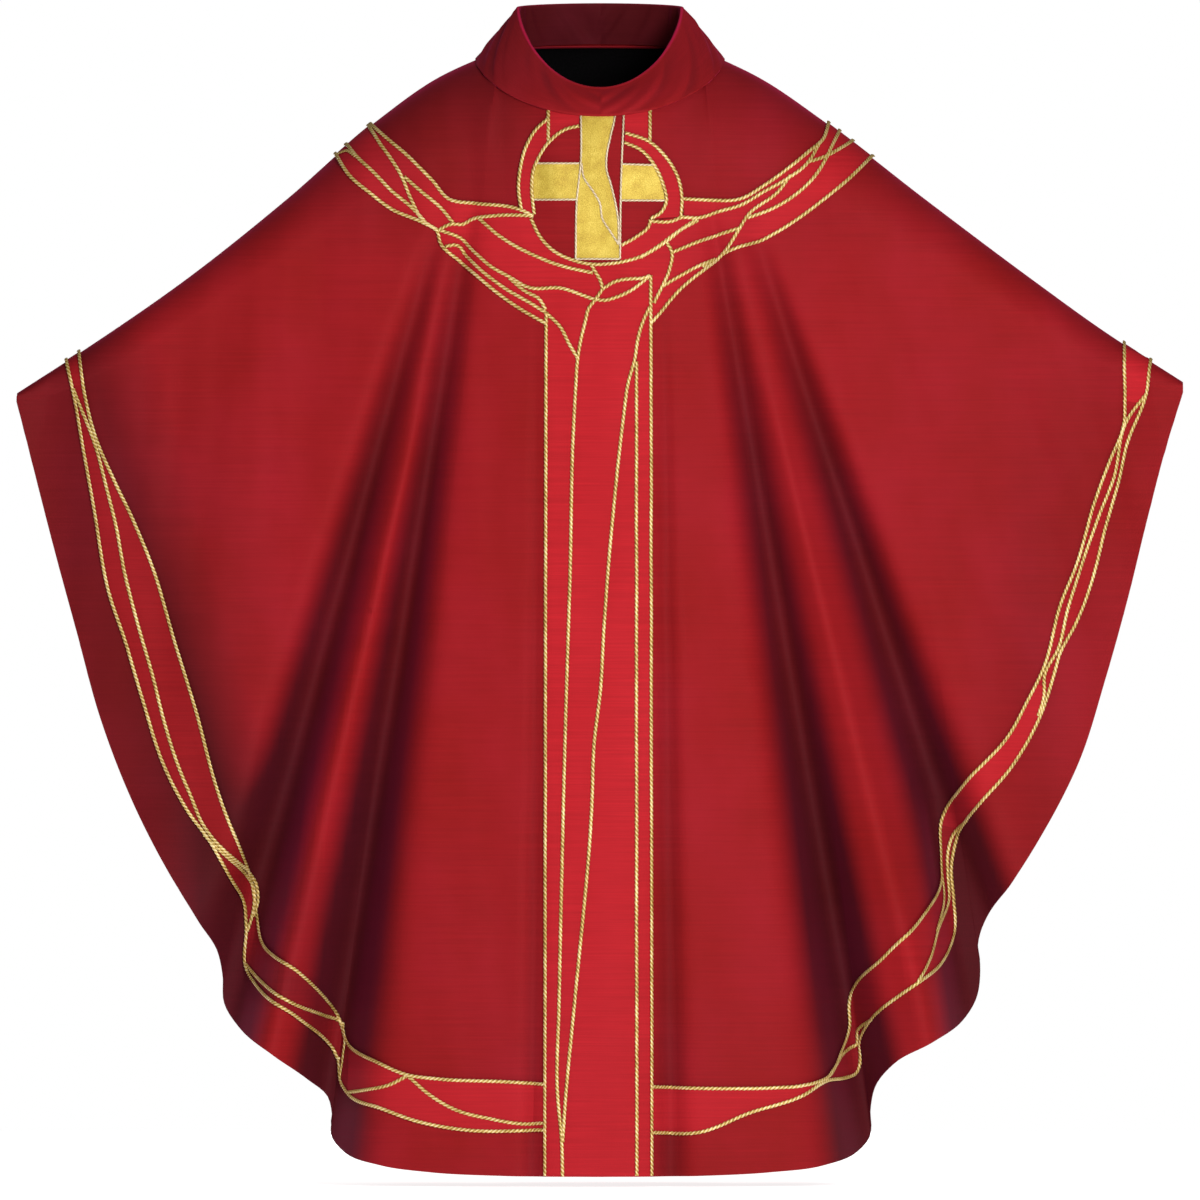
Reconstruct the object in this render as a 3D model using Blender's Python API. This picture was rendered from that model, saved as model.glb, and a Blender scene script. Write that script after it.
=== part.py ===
"""A red chasuble with a roll collar, appliqued orphreys and couched gold braid, hung as it is worn.

Metres, +Z up. The origin is at the middle of the neck, level with the tops of the shoulders. The front
faces -Y. Each half of the cloth is a grid: columns run from the shoulder seam or the neck edge down to
the hem, and rows turn over the shoulder before they fall. Everything sewn on the cloth is a layer of that
same grid, cut to the outline of the piece.
"""
import math

import bpy
import numpy as np

CLOTH = 0.0012
GAP = 0.0005
APPLIQUE = (0.0016, 0.0024)
SECOND_APPLIQUE = (0.0029, 0.0037)
BRAID = (0.0029, 0.0049)
SECOND_BRAID = (0.0042, 0.0062)
BRAID_WIDTH = 0.005
TAPE = (-0.0014, -0.0006)
LINING = (-0.0028, -0.0020)

HALF_SEAM = 0.0003
NECK_HALF_WIDTH = 0.118
NECK_FRONT = 0.097
NECK_BACK = 0.085
NECK_LEVEL = 0.012
NECK_FRONT_DROP = 0.064
NECK_SHARE = 0.8

SHOULDER_TURNS = (0, 30, 60, 90)
FALL_STEPS = 6
COLLAR_COLUMNS = 28

# Shoulder lines from the wing tip to the neck, as (x, z).
SHOULDERS = {
    "left": [(-0.679, -0.388), (-0.594, -0.333), (-0.483, -0.256), (-0.366, -0.163), (-0.259, -0.070),
             (-0.193, -0.023), (-NECK_HALF_WIDTH, NECK_LEVEL)],
    "right": [(0.679, -0.375), (0.586, -0.315), (0.504, -0.256), (0.380, -0.163), (0.259, -0.070),
              (0.190, -0.023), (NECK_HALF_WIDTH, NECK_LEVEL)],
}

# Hem lines from the wing tip to the middle, as (x, z). The cloth turns back on itself at each step.
HEMS = {
    "left": [(-0.679, -0.398), (-0.655, -0.495), (-0.633, -0.580), (-0.610, -0.664), (-0.581, -0.769),
             (-0.545, -0.862), (-0.510, -0.930), (-0.464, -1.005), (-0.440, -1.055), (-0.425, -1.118),
             (-0.384, -1.152), (-0.337, -1.182), (-0.315, -1.228), (-0.295, -1.272), (-0.240, -1.288),
             (-0.180, -1.293), (-0.120, -1.296), (-0.060, -1.298), (0.0, -1.298)],
    "right": [(0.679, -0.387), (0.659, -0.452), (0.637, -0.536), (0.614, -0.629), (0.588, -0.722),
              (0.558, -0.816), (0.512, -0.905), (0.462, -0.980), (0.440, -1.045), (0.432, -1.105),
              (0.388, -1.142), (0.339, -1.170), (0.315, -1.220), (0.300, -1.270), (0.240, -1.288),
              (0.180, -1.293), (0.120, -1.296), (0.060, -1.298), (0.0, -1.298)],
}

# How far the cloth stands out from the shoulder line, from the tip (0) to the middle (1).
STAND_OUT = [(0.0, 0.012), (0.12, 0.035), (0.4, 0.055), (0.6, 0.072), (0.8, 0.094), (1.0, 0.120)]
FLARE = [(0.0, 0.0), (0.3, 0.015), (0.6, 0.03), (0.8, 0.06), (1.0, 0.070)]
TURN_DROP = 1.3

# Folds as (top x, top z, hem x, hem z, depth at the hem, width at the hem); a ridge has a negative depth.
FRONT_FOLDS = [
    (-0.190, -0.20, -0.436, -1.07, 0.054, 0.044), (-0.195, -0.36, -0.380, -1.16, -0.028, 0.026),
    (-0.150, -0.17, -0.320, -1.25, 0.074, 0.038), (0.128, -0.17, 0.318, -1.24, 0.074, 0.038),
    (0.190, -0.36, 0.385, -1.17, -0.028, 0.026), (0.178, -0.20, 0.444, -1.05, 0.070, 0.038),
]
BACK_FOLDS = [
    (-0.200, -0.22, -0.435, -1.07, 0.054, 0.036), (-0.160, -0.22, -0.316, -1.23, 0.062, 0.034),
    (-0.070, -0.30, -0.140, -1.30, 0.036, 0.040), (0.070, -0.30, 0.150, -1.30, 0.036, 0.040),
    (0.160, -0.22, 0.317, -1.23, 0.062, 0.034), (0.200, -0.22, 0.441, -1.06, 0.056, 0.036),
]

# Lines of the design, as (x, z). Outlines and braids are made from them.
ARM_TOP = {
    "left": [(-0.264, -0.078), (-0.246, -0.094), (-0.223, -0.113), (-0.195, -0.141), (-0.175, -0.163),
             (-0.143, -0.168), (-0.098, -0.175)],
    "right": [(0.264, -0.077), (0.259, -0.093), (0.242, -0.108), (0.216, -0.129), (0.189, -0.148),
              (0.162, -0.163), (0.101, -0.164)],
}
ARM_BOTTOM = {
    "left": [(-0.304, -0.115), (-0.292, -0.134), (-0.267, -0.156), (-0.241, -0.175), (-0.189, -0.200),
             (-0.185, -0.213), (-0.150, -0.245), (-0.118, -0.273), (-0.071, -0.302)],
    "right": [(0.315, -0.114), (0.296, -0.133), (0.261, -0.162), (0.225, -0.189), (0.195, -0.207),
              (0.147, -0.225), (0.118, -0.247), (0.091, -0.270), (0.068, -0.298)],
}
RING_OUTER = {
    "left": [(-0.059, -0.073), (-0.075, -0.086), (-0.086, -0.104), (-0.092, -0.127), (-0.094, -0.149),
             (-0.091, -0.172)],
    "right": [(0.030, -0.087), (0.058, -0.098), (0.076, -0.115), (0.090, -0.140), (0.094, -0.162),
              (0.093, -0.180)],
}
RING_INNER = {
    "left": [(-0.030, -0.082), (-0.043, -0.087), (-0.060, -0.101), (-0.071, -0.118), (-0.078, -0.140),
             (-0.078, -0.172)],
    "right": [(0.030, -0.099), (0.047, -0.108), (0.063, -0.125), (0.073, -0.147), (0.076, -0.166),
              (0.066, -0.180)],
}
BOWL = [(-0.078, -0.192), (-0.070, -0.206), (-0.054, -0.223), (-0.029, -0.236), (-0.010, -0.240),
        (0.015, -0.239), (0.047, -0.230), (0.076, -0.213), (0.105, -0.191)]
STEM = [(-0.010, -0.241), (-0.004, -0.250), (0.002, -0.267), (-0.005, -0.280), (-0.013, -0.291),
        (-0.018, -0.306), (-0.022, -0.326), (-0.026, -0.347)]
LEAF = [(0.006, -0.281), (0.020, -0.277), (0.035, -0.270), (0.057, -0.252)]
BORDER_INNER = {
    "left": [(-0.606, -0.344), (-0.599, -0.388), (-0.589, -0.431), (-0.565, -0.490), (-0.521, -0.588),
             (-0.468, -0.761), (-0.424, -0.908), (-0.403, -0.967), (-0.393, -1.022), (-0.353, -1.060),
             (-0.327, -1.086), (-0.302, -1.120), (-0.289, -1.148), (-0.257, -1.166), (-0.224, -1.178),
             (-0.186, -1.184), (-0.068, -1.190)],
    "right": [(0.609, -0.332), (0.610, -0.397), (0.608, -0.424), (0.574, -0.518), (0.534, -0.638),
              (0.517, -0.703), (0.476, -0.784), (0.426, -0.842), (0.396, -0.891), (0.394, -0.961),
              (0.372, -0.998), (0.329, -1.046), (0.301, -1.074), (0.289, -1.124), (0.282, -1.151),
              (0.264, -1.177), (0.233, -1.190), (0.066, -1.195)],
}
BORDER_OUTER = {
    "left": [(-0.621, -0.354), (-0.610, -0.397), (-0.601, -0.449), (-0.570, -0.622), (-0.532, -0.743),
             (-0.507, -0.820), (-0.479, -0.875), (-0.449, -0.918), (-0.417, -0.979), (-0.410, -1.052),
             (-0.393, -1.083), (-0.353, -1.114), (-0.319, -1.143), (-0.304, -1.163), (-0.299, -1.191),
             (-0.288, -1.206), (-0.254, -1.219), (-0.212, -1.234), (-0.155, -1.243), (-0.068, -1.244)],
    "right": [(0.640, -0.354), (0.635, -0.389), (0.613, -0.446), (0.588, -0.543), (0.553, -0.656),
              (0.529, -0.712), (0.510, -0.767), (0.476, -0.825), (0.417, -0.905), (0.410, -0.960),
              (0.411, -1.014), (0.394, -1.052), (0.368, -1.074), (0.315, -1.120), (0.305, -1.139),
              (0.301, -1.173), (0.280, -1.192), (0.205, -1.217), (0.112, -1.244), (0.066, -1.247)],
}
PILLAR_LEFT = -0.0625
PILLAR_FACET = 0.042
PILLAR_RIGHT = 0.0585
BELOW_HEM = -1.35

CRIMSON = (0.30, 0.012, 0.018, 1.0)
BRIGHT_RED = (0.55, 0.020, 0.030, 1.0)
DARK_RED = (0.25, 0.012, 0.020, 1.0)
GOLD = (0.68, 0.46, 0.08, 1.0)
BRAID_GOLD = (0.62, 0.42, 0.12, 1.0)
WHITE_FELT = (0.75, 0.72, 0.68, 1.0)
BLACK = (0.010, 0.009, 0.010, 1.0)


def material(name, colour, roughness, metallic=0.0):
    made = bpy.data.materials.get(name)
    if made:
        return made
    made = bpy.data.materials.new(name)
    made.use_nodes = True
    shader = made.node_tree.nodes["Principled BSDF"]
    shader.inputs["Base Color"].default_value = colour
    shader.inputs["Roughness"].default_value = roughness
    shader.inputs["Metallic"].default_value = metallic
    return made


def lookup(table, at):
    return float(np.interp(at, [row[0] for row in table], [row[1] for row in table]))


def shares(points):
    """How far along an open line each of its points is, from 0 to 1."""
    steps = np.linalg.norm(np.diff(np.array(points), axis=0), axis=1)
    walked = np.concatenate([[0.0], np.cumsum(steps)])
    return walked / walked[-1]


def along(points, share):
    walked = shares(points)
    line = np.array(points)
    return np.array([np.interp(share, walked, line[:, axis]) for axis in range(line.shape[1])])


def neck_edge(angle, front):
    """A point of the neck edge, from the side (0) to the middle (a right angle), as (x share, y, z)."""
    out = math.sin(angle)
    if front:
        return math.cos(angle), NECK_FRONT * out, NECK_LEVEL - NECK_FRONT_DROP * out ** 1.3
    return math.cos(angle), NECK_BACK * out, NECK_LEVEL + 0.006 * out


def top_point(side, share, front):
    """The top of a column as (x, depth, z): on the shoulder seam, and past it on the neck edge."""
    if share <= NECK_SHARE:
        x, z = along(SHOULDERS[side], share / NECK_SHARE)
        return x, 0.0, z
    angle = (share - NECK_SHARE) / (1 - NECK_SHARE) * math.pi / 2
    across, depth, z = neck_edge(angle, front)
    return math.copysign(NECK_HALF_WIDTH * across, SHOULDERS[side][0][0]), depth, z


def fold_depth(x, z, folds):
    total = 0.0
    for top_x, top_z, hem_x, hem_z, depth, width in folds:
        down = min(max((top_z - z) / (top_z - hem_z), 0.0), 1.15)
        middle = top_x + (hem_x - top_x) * down
        spread = width * (0.40 + 0.60 * down)
        total += depth * down ** 0.8 * math.exp(-((x - middle) / spread) ** 2)
    return total


def column(side, share, hem, front):
    """The points of one column from its top to the hem."""
    x, depth, z = top_point(side, share, front)
    top = np.array([x, z])
    fall = np.array(hem) - top
    length = np.linalg.norm(fall)
    out = lookup(STAND_OUT, share)
    radius = min(TURN_DROP * out, 0.4 * length)
    folds = FRONT_FOLDS if front else BACK_FOLDS
    forward = -1.0 if front else 1.0
    points = []
    for turn in SHOULDER_TURNS:
        angle = math.radians(turn)
        x, z = top + fall * (radius * (1 - math.cos(angle)) / length)
        points.append((x, forward * (depth + (max(out, depth) - depth) * math.sin(angle)), z))
    for step in range(1, FALL_STEPS + 1):
        down = step / FALL_STEPS
        x, z = top + fall * (radius + (length - radius) * down) / length
        stand = max(out, depth) + lookup(FLARE, share) * down ** 1.2 - fold_depth(x, z, folds)
        points.append((x, forward * max(stand, 0.008), z))
    return points


def cloth_grid(front):
    """The whole front or back as columns from the left tip to the right tip, with their normals."""
    columns = [column("left", share, hem, front) for share, hem in zip(shares(HEMS["left"]), HEMS["left"])]
    right = [column("right", share, hem, front) for share, hem in zip(shares(HEMS["right"]), HEMS["right"])]
    grid = np.array(columns + right[-2::-1])
    across = np.gradient(grid, axis=0)
    down = np.gradient(grid, axis=1)
    normals = np.cross(down, across)
    if not front:
        normals = -normals
    normals[:, 0, 1] *= np.abs(grid[:, 0, 1]) > 0.001
    normals /= np.linalg.norm(normals, axis=2, keepdims=True)
    grid[:, 0, 1] += -HALF_SEAM if front else HALF_SEAM
    return grid, normals


def shell(name, grid, normals, layer, colour, loops=False):
    """A closed thin solid between two offsets of a grid; loops joins its last column to its first.

    Both sides are split into triangles along the same diagonals, so that the layers stay clear of each other.
    """
    count, rows = grid.shape[:2]
    inner = (grid + normals * layer[0]).reshape(-1, 3)
    outer = (grid + normals * layer[1]).reshape(-1, 3)
    size = count * rows
    faces = []
    for i in range(count if loops else count - 1):
        for j in range(rows - 1):
            a, b = i * rows + j, i * rows + j + 1
            c, d = (i + 1) % count * rows + j + 1, (i + 1) % count * rows + j
            for corners in ((a, b, c), (a, c, d)):
                faces.append(tuple(corner + size for corner in corners))
                faces.append(corners[::-1])
    ring = [(i * rows, (i + 1) % count * rows) for i in range(count if loops else count - 1)]
    ring += [((i + 1) % count * rows + rows - 1, i * rows + rows - 1)
             for i in range(count if loops else count - 1)]
    if not loops:
        ring += [(j + 1, j) for j in range(rows - 1)]
        ring += [((count - 1) * rows + j, (count - 1) * rows + j + 1) for j in range(rows - 1)]
    faces += [(a, a + size, b + size, b) for a, b in ring]
    return solid(name, np.concatenate([inner, outer]), faces, colour)


def solid(name, points, faces, colour):
    mesh = bpy.data.meshes.new(name)
    mesh.from_pydata([tuple(point) for point in points], [], faces)
    made = bpy.data.objects.new(name, mesh)
    bpy.context.scene.collection.objects.link(made)
    fix_facing(made)
    mesh.materials.append(colour)
    return made


def fix_facing(made):
    """Turns a closed solid's faces outwards."""
    mesh = made.data
    mesh.calc_loop_triangles()
    points = np.array([vertex.co for vertex in mesh.vertices])
    corners = np.array([triangle.vertices for triangle in mesh.loop_triangles])
    a, b, c = points[corners[:, 0]], points[corners[:, 1]], points[corners[:, 2]]
    if np.einsum("ij,ij->i", a, np.cross(b, c)).sum() < 0:
        mesh.flip_normals()


def prism(outline):
    """A cutter: an (x, z) outline extruded right through the garment along Y."""
    count = len(outline)
    points = [(x, -0.6, z) for x, z in outline] + [(x, 0.6, z) for x, z in outline]
    faces = [tuple(range(count)), tuple(range(2 * count - 1, count - 1, -1))]
    faces += [((i + 1) % count, i, i + count, (i + 1) % count + count) for i in range(count)]
    return solid("cutter", points, faces, material("cutter", BLACK, 1.0))


def cut_piece(name, cloth, layer, outline, colour):
    """A layer of the cloth cut to an outline."""
    piece = shell(name, *cloth, layer, colour)
    cutter = prism(outline)
    cut = piece.modifiers.new("cut", "BOOLEAN")
    cut.operation = "INTERSECT"
    cut.object = cutter
    evaluated = piece.evaluated_get(bpy.context.evaluated_depsgraph_get())
    mesh = bpy.data.meshes.new_from_object(evaluated)
    piece.modifiers.clear()
    piece.data = mesh
    mesh.materials.clear()
    mesh.materials.append(colour)
    bpy.data.objects.remove(cutter)
    return piece


def ribbon(line, width):
    """The outline of a strip of the given width along a line."""
    points = np.array(line)
    steps = np.diff(points, axis=0)
    steps /= np.linalg.norm(steps, axis=1, keepdims=True)
    ahead = np.vstack([steps, steps[-1:]])
    behind = np.vstack([steps[:1], steps])
    tangent = (ahead + behind) / np.linalg.norm(ahead + behind, axis=1, keepdims=True)
    spread = width / 2 / np.einsum("ij,ij->i", tangent, ahead)
    normal = np.stack([-tangent[:, 1], tangent[:, 0]], axis=1) * spread[:, None]
    return [tuple(point) for point in points + normal] + [tuple(point) for point in (points - normal)[::-1]]


def over_seam(line):
    """A line that starts on the shoulder, drawn on past the seam so that its cut reaches the edge."""
    x, z = line[0]
    return [(x * 1.02, z + 0.06)] + line


def panels(cloths):
    crimson = material("crimson_silk", CRIMSON, 0.5)
    for place, (grid, normals) in cloths.items():
        middle = len(HEMS["left"]) - 1
        for side, part in (("left", slice(0, middle + 1)), ("right", slice(middle, None))):
            half = grid[part].copy()
            half[-1 if side == "left" else 0, :, 0] += -HALF_SEAM if side == "left" else HALF_SEAM
            shell(f"{place}_panel_{side}", half, normals[part], (0.0, CLOTH), crimson)


def seam_tapes(cloths):
    """The tapes inside the shoulder seams, over the first row of the back and of the front."""
    tape = material("seam_tape", CRIMSON, 0.7)
    (front, front_normals), (back, back_normals) = cloths["front"], cloths["back"]
    last = len(front) - 1
    for side, columns in (("left", range(3, 11)), ("right", range(last - 10, last - 2))):
        picked = list(columns)
        grid = np.stack([back[picked, 1], front[picked, 0], front[picked, 1]], axis=1)
        normals = np.stack([back_normals[picked, 1], front_normals[picked, 0], front_normals[picked, 1]], axis=1)
        shell(f"shoulder_seam_tape_{side}", grid, normals, TAPE, tape)


def collar_loop(half_width, front, back, side_level, front_level, back_level, power, fullness=0.0):
    """A ring round the neck; fullness widens it between its sides and its middles."""
    points = []
    for step in range(COLLAR_COLUMNS):
        angle = 2 * math.pi * step / COLLAR_COLUMNS
        out = math.sin(angle)
        reach, level = (back, back_level) if out > 0 else (front, front_level)
        z = side_level + (level - side_level) * abs(out) ** power
        wide = 1 + fullness * math.sin(2 * angle) ** 2
        points.append((wide * half_width * math.cos(angle), wide * reach * out, z))
    return np.array(points)


def collar():
    """A roll collar: the stand rises from the neck edge to the rim, and the fall turns down outside it."""
    foot = collar_loop(0.112, 0.090, 0.079, 0.012, -0.050, 0.020, 1.3)
    rim = collar_loop(0.097, 0.083, 0.062, 0.0606, -0.034, 0.066, 1.2)
    hem = collar_loop(0.145, 0.124, 0.108, 0.006, -0.062, 0.018, 1.5, 0.05)
    crimson = material("crimson_silk", CRIMSON, 0.5)
    lift = np.array([0.0, 0.0, 0.0018])
    stand = np.stack([foot + (rim - foot) * share for share in (0.0, 0.5, 1.0)], axis=1)
    bulge = np.array([0.0, 0.0, 0.006])
    fall = np.stack([rim + (hem - rim) * share + lift + bulge * math.sin(math.pi * share)
                     for share in (0.0, 0.25, 0.5, 0.75, 1.0)], axis=1)
    for name, grid, layer, colour in (
            ("collar_stand", stand, (-0.0012, 0.0), crimson),
            ("collar_interlining", stand[:, :2] + np.array([0.0, 0.0, 0.002]), (0.0004, 0.0012),
             material("felt", WHITE_FELT, 0.9)),
            ("collar_fall", fall, (0.0004, 0.0018), crimson)):
        ring = np.roll(grid, -1, axis=0) - np.roll(grid, 1, axis=0)
        normals = np.cross(ring, np.gradient(grid, axis=1))
        outward = np.einsum("ijk,ijk->ij", normals, grid * np.array([1.0, 1.0, 0.0]))
        normals *= np.sign(outward)[:, :, None]
        normals /= np.linalg.norm(normals, axis=2, keepdims=True)
        shell(name, grid, normals, layer, colour, loops=True)


def arm_outline(side):
    """An arm of the front orphrey: over its top line, along the bowl, and back on its bottom line."""
    upper = over_seam(ARM_TOP[side])
    lower = over_seam(ARM_BOTTOM[side])[::-1]
    if side == "left":
        corner = [(-0.0615, -0.2965), (PILLAR_LEFT - GAP, -0.2975), (PILLAR_LEFT - GAP, -0.3055)]
        middle = [(-0.084, -0.182)] + [(x, z - GAP) for x, z in BOWL[:4]]
        stem = [(x - GAP, z) for x, z in STEM]
        return upper + middle + stem + corner + lower
    bowl = [(x, z - GAP) for x, z in BOWL[:4:-1]]
    stem = [(x + GAP, z) for x, z in STEM[:3]]
    leaf = [(x, z + GAP) for x, z in LEAF] + [(PILLAR_RIGHT, -0.256), (PILLAR_RIGHT, -0.304)]
    return upper + bowl + stem + leaf + lower


def pillar_outline():
    foot_x, foot_z = STEM[-1]
    top = [(PILLAR_LEFT, -0.2995), (foot_x, foot_z - 0.003)] + [(x + GAP, z) for x, z in STEM[-2:2:-1]]
    leaf = [(x, z - GAP) for x, z in LEAF] + [(0.0565, -0.288), (0.0475, -0.320)]
    right = [(PILLAR_FACET - GAP, -0.365), (PILLAR_FACET - GAP, BELOW_HEM)]
    return top + leaf + right + [(PILLAR_LEFT, BELOW_HEM)]


def facet_outline():
    return [(0.0575, -0.288), (PILLAR_RIGHT, -0.310), (PILLAR_RIGHT, BELOW_HEM),
            (PILLAR_FACET + GAP, BELOW_HEM), (PILLAR_FACET + GAP, -0.365), (0.0485, -0.320)]


def medallion_outline():
    middle_x, middle_z, radius, corners = -0.001, -0.155, 0.083, 28
    turns = [2 * math.pi * corner / corners for corner in range(corners)]
    return [(middle_x + radius * math.cos(turn), middle_z + radius * math.sin(turn)) for turn in turns]


def front_appliques(cloth):
    bright = material("bright_red_silk", BRIGHT_RED, 0.5)
    dark = material("dark_red_silk", DARK_RED, 0.55)
    gold = material("gold_lame", GOLD, 0.35, 0.8)
    strips = {"left": [(-0.059, -0.030), (-0.024, -0.030), (-0.024, -0.072), (-0.040, -0.079), (-0.059, -0.094)],
              "right": [(0.026, -0.030), (0.057, -0.030), (0.057, -0.094), (0.040, -0.080), (0.026, -0.074)]}
    for side in ("left", "right"):
        cut_piece(f"orphrey_arm_{side}", cloth, APPLIQUE, arm_outline(side), bright)
        cut_piece(f"neck_strip_{side}", cloth, APPLIQUE, strips[side], bright)
        ring = RING_OUTER[side] + RING_INNER[side][::-1]
        cut_piece(f"ring_{side}", cloth, SECOND_APPLIQUE, ring, bright)
        border = over_seam(BORDER_INNER[side]) + over_seam(BORDER_OUTER[side])[::-1]
        cut_piece(f"front_border_{side}", cloth, APPLIQUE, border, bright)
    cut_piece("orphrey_pillar", cloth, APPLIQUE, pillar_outline(), bright)
    cut_piece("orphrey_pillar_facet", cloth, APPLIQUE, facet_outline(), dark)
    cut_piece("medallion_field", cloth, APPLIQUE, medallion_outline(), dark)
    upright = [(-0.022, -0.030), (0.018, -0.030), (0.0175, -0.068), (0.012, -0.092), (0.008, -0.113),
               (0.008, -0.129), (0.0125, -0.145), (0.021, -0.185), (0.022, -0.231), (-0.028, -0.229),
               (-0.026, -0.160)]
    cut_piece("cross_upright", cloth, SECOND_APPLIQUE, upright, gold)
    left_arm = [(-0.0705, -0.123), (-0.0255, -0.122), (-0.0275, -0.164), (-0.0755, -0.164), (-0.0755, -0.142)]
    right_arm = [(0.026, -0.123), (0.058, -0.124), (0.068, -0.143), (0.0725, -0.165), (0.025, -0.165)]
    cut_piece("cross_arm_left", cloth, SECOND_APPLIQUE, left_arm, gold)
    cut_piece("cross_arm_right", cloth, SECOND_APPLIQUE, right_arm, gold)


def braids(cloth, place):
    """The couched braids along the edges of the orphreys, and the drawn lines inside the front one."""
    lines = {}
    for side in ("left", "right"):
        lines[f"braid_arm_top_{side}"] = (over_seam(ARM_TOP[side]), BRAID)
        lines[f"braid_arm_bottom_{side}"] = (over_seam(ARM_BOTTOM[side]), BRAID)
        lines[f"braid_border_inner_{side}"] = (over_seam(BORDER_INNER[side]), BRAID)
        lines[f"braid_border_outer_{side}"] = (over_seam(BORDER_OUTER[side]), BRAID)
    tops = {"front": (-0.315, -0.262), "back": (-0.314, -0.312)}[place]
    lines["braid_pillar_left"] = ([(PILLAR_LEFT, tops[0]), (PILLAR_LEFT, BELOW_HEM)], BRAID)
    lines["braid_pillar_right"] = ([(PILLAR_RIGHT, tops[1]), (PILLAR_RIGHT, BELOW_HEM)], BRAID)
    if place == "front":
        for side in ("left", "right"):
            lines[f"braid_ring_outer_{side}"] = (RING_OUTER[side], SECOND_BRAID)
            lines[f"braid_ring_inner_{side}"] = (RING_INNER[side], SECOND_BRAID)
        lines["braid_bowl"] = (BOWL, BRAID)
        lines["braid_cross_vein"] = ([(-0.017, -0.138), (-0.008, -0.154), (0.000, -0.168), (0.004, -0.187),
                                      (0.013, -0.203), (0.020, -0.214)], SECOND_BRAID)
        lines["braid_stem"] = (STEM[3:] + [(-0.031, -0.42), (-0.038, -0.72), (-0.047, -1.10), (-0.049, -1.20),
                                           (-0.044, -1.25), (-0.042, BELOW_HEM)], BRAID)
        lines["braid_vein"] = ([(0.0515, -0.300), (0.042, -0.345), (0.030, -0.395), (0.005, -0.66),
                                (-0.007, -0.80), (-0.029, -1.095), (-0.036, -1.19)], BRAID)
        lines["braid_facet"] = ([(PILLAR_FACET, -0.395), (PILLAR_FACET, BELOW_HEM)], BRAID)
    gold = material("braid_gold", BRAID_GOLD, 0.4, 0.7)
    prefix = "" if place == "front" else "back_"
    for name, (line, layer) in lines.items():
        cut_piece(prefix + name, cloth, layer, ribbon(line, BRAID_WIDTH), gold)


def back_appliques(cloth):
    bright = material("bright_red_silk", BRIGHT_RED, 0.5)
    pillar = [(PILLAR_LEFT, 0.05), (PILLAR_RIGHT, 0.05), (PILLAR_RIGHT, BELOW_HEM), (PILLAR_LEFT, BELOW_HEM)]
    cut_piece("back_pillar", cloth, APPLIQUE, pillar, bright)
    for side, edge in (("left", PILLAR_LEFT - GAP), ("right", PILLAR_RIGHT + GAP)):
        arm = over_seam(ARM_TOP[side]) + [(edge, -0.182), (edge, -0.305)] + over_seam(ARM_BOTTOM[side])[::-1]
        cut_piece(f"back_arm_{side}", cloth, APPLIQUE, arm, bright)
        border = over_seam(BORDER_INNER[side]) + over_seam(BORDER_OUTER[side])[::-1]
        cut_piece(f"back_border_{side}", cloth, APPLIQUE, border, bright)
    yoke = [(-0.16, 0.1), (0.16, 0.1), (0.16, -0.12), (0.10, -0.20), (0.0, -0.23), (-0.10, -0.20), (-0.16, -0.12)]
    cut_piece("neck_lining", cloth, LINING, yoke, material("black_lining", BLACK, 0.6))


def main():
    for old in list(bpy.data.objects):
        bpy.data.objects.remove(old)
    cloths = {"front": cloth_grid(True), "back": cloth_grid(False)}
    panels(cloths)
    seam_tapes(cloths)
    collar()
    front_appliques(cloths["front"])
    back_appliques(cloths["back"])
    for place, cloth in cloths.items():
        braids(cloth, place)


main()
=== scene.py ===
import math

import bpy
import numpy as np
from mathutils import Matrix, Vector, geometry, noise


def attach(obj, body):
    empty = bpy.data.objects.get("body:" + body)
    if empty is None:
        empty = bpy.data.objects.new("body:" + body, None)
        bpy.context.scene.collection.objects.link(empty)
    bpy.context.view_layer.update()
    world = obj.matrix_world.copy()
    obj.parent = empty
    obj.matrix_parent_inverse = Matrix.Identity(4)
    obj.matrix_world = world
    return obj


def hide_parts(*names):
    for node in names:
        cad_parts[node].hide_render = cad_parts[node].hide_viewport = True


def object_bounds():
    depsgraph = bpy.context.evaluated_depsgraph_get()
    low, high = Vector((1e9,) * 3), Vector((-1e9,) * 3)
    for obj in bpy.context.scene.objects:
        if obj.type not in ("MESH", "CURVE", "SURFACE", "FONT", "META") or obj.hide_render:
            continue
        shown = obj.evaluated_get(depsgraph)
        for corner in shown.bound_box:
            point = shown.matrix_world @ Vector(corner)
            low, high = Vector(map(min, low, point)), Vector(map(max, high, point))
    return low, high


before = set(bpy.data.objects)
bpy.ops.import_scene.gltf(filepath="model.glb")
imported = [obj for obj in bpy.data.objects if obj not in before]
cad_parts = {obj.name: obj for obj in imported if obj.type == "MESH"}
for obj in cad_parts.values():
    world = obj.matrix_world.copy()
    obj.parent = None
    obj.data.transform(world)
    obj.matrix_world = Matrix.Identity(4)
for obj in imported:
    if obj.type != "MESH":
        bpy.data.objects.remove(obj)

# The looks of a red chasuble: draped silk, appliqued orphreys, couched gold braid and a roll collar.
#
# Each half of the garment is a grid of points in cloth coordinates: "across" runs from the left wing tip (-1)
# through the middle (0) to the right wing tip (1), and "down" runs from the shoulder seam to the hem. The
# lines of the design are drawn as (x, z) points of the front view and carried onto the cloth.

CAD_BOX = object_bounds()
SIDES = ("left", "right")


def mm(*numbers):
    """Points (x, z) in metres, from their x and z in millimetres one after another."""
    return [(x / 1000, z / 1000) for x, z in zip(numbers[::2], numbers[1::2])]


# ---------------------------------------------------------------- sizes, in metres

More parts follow.
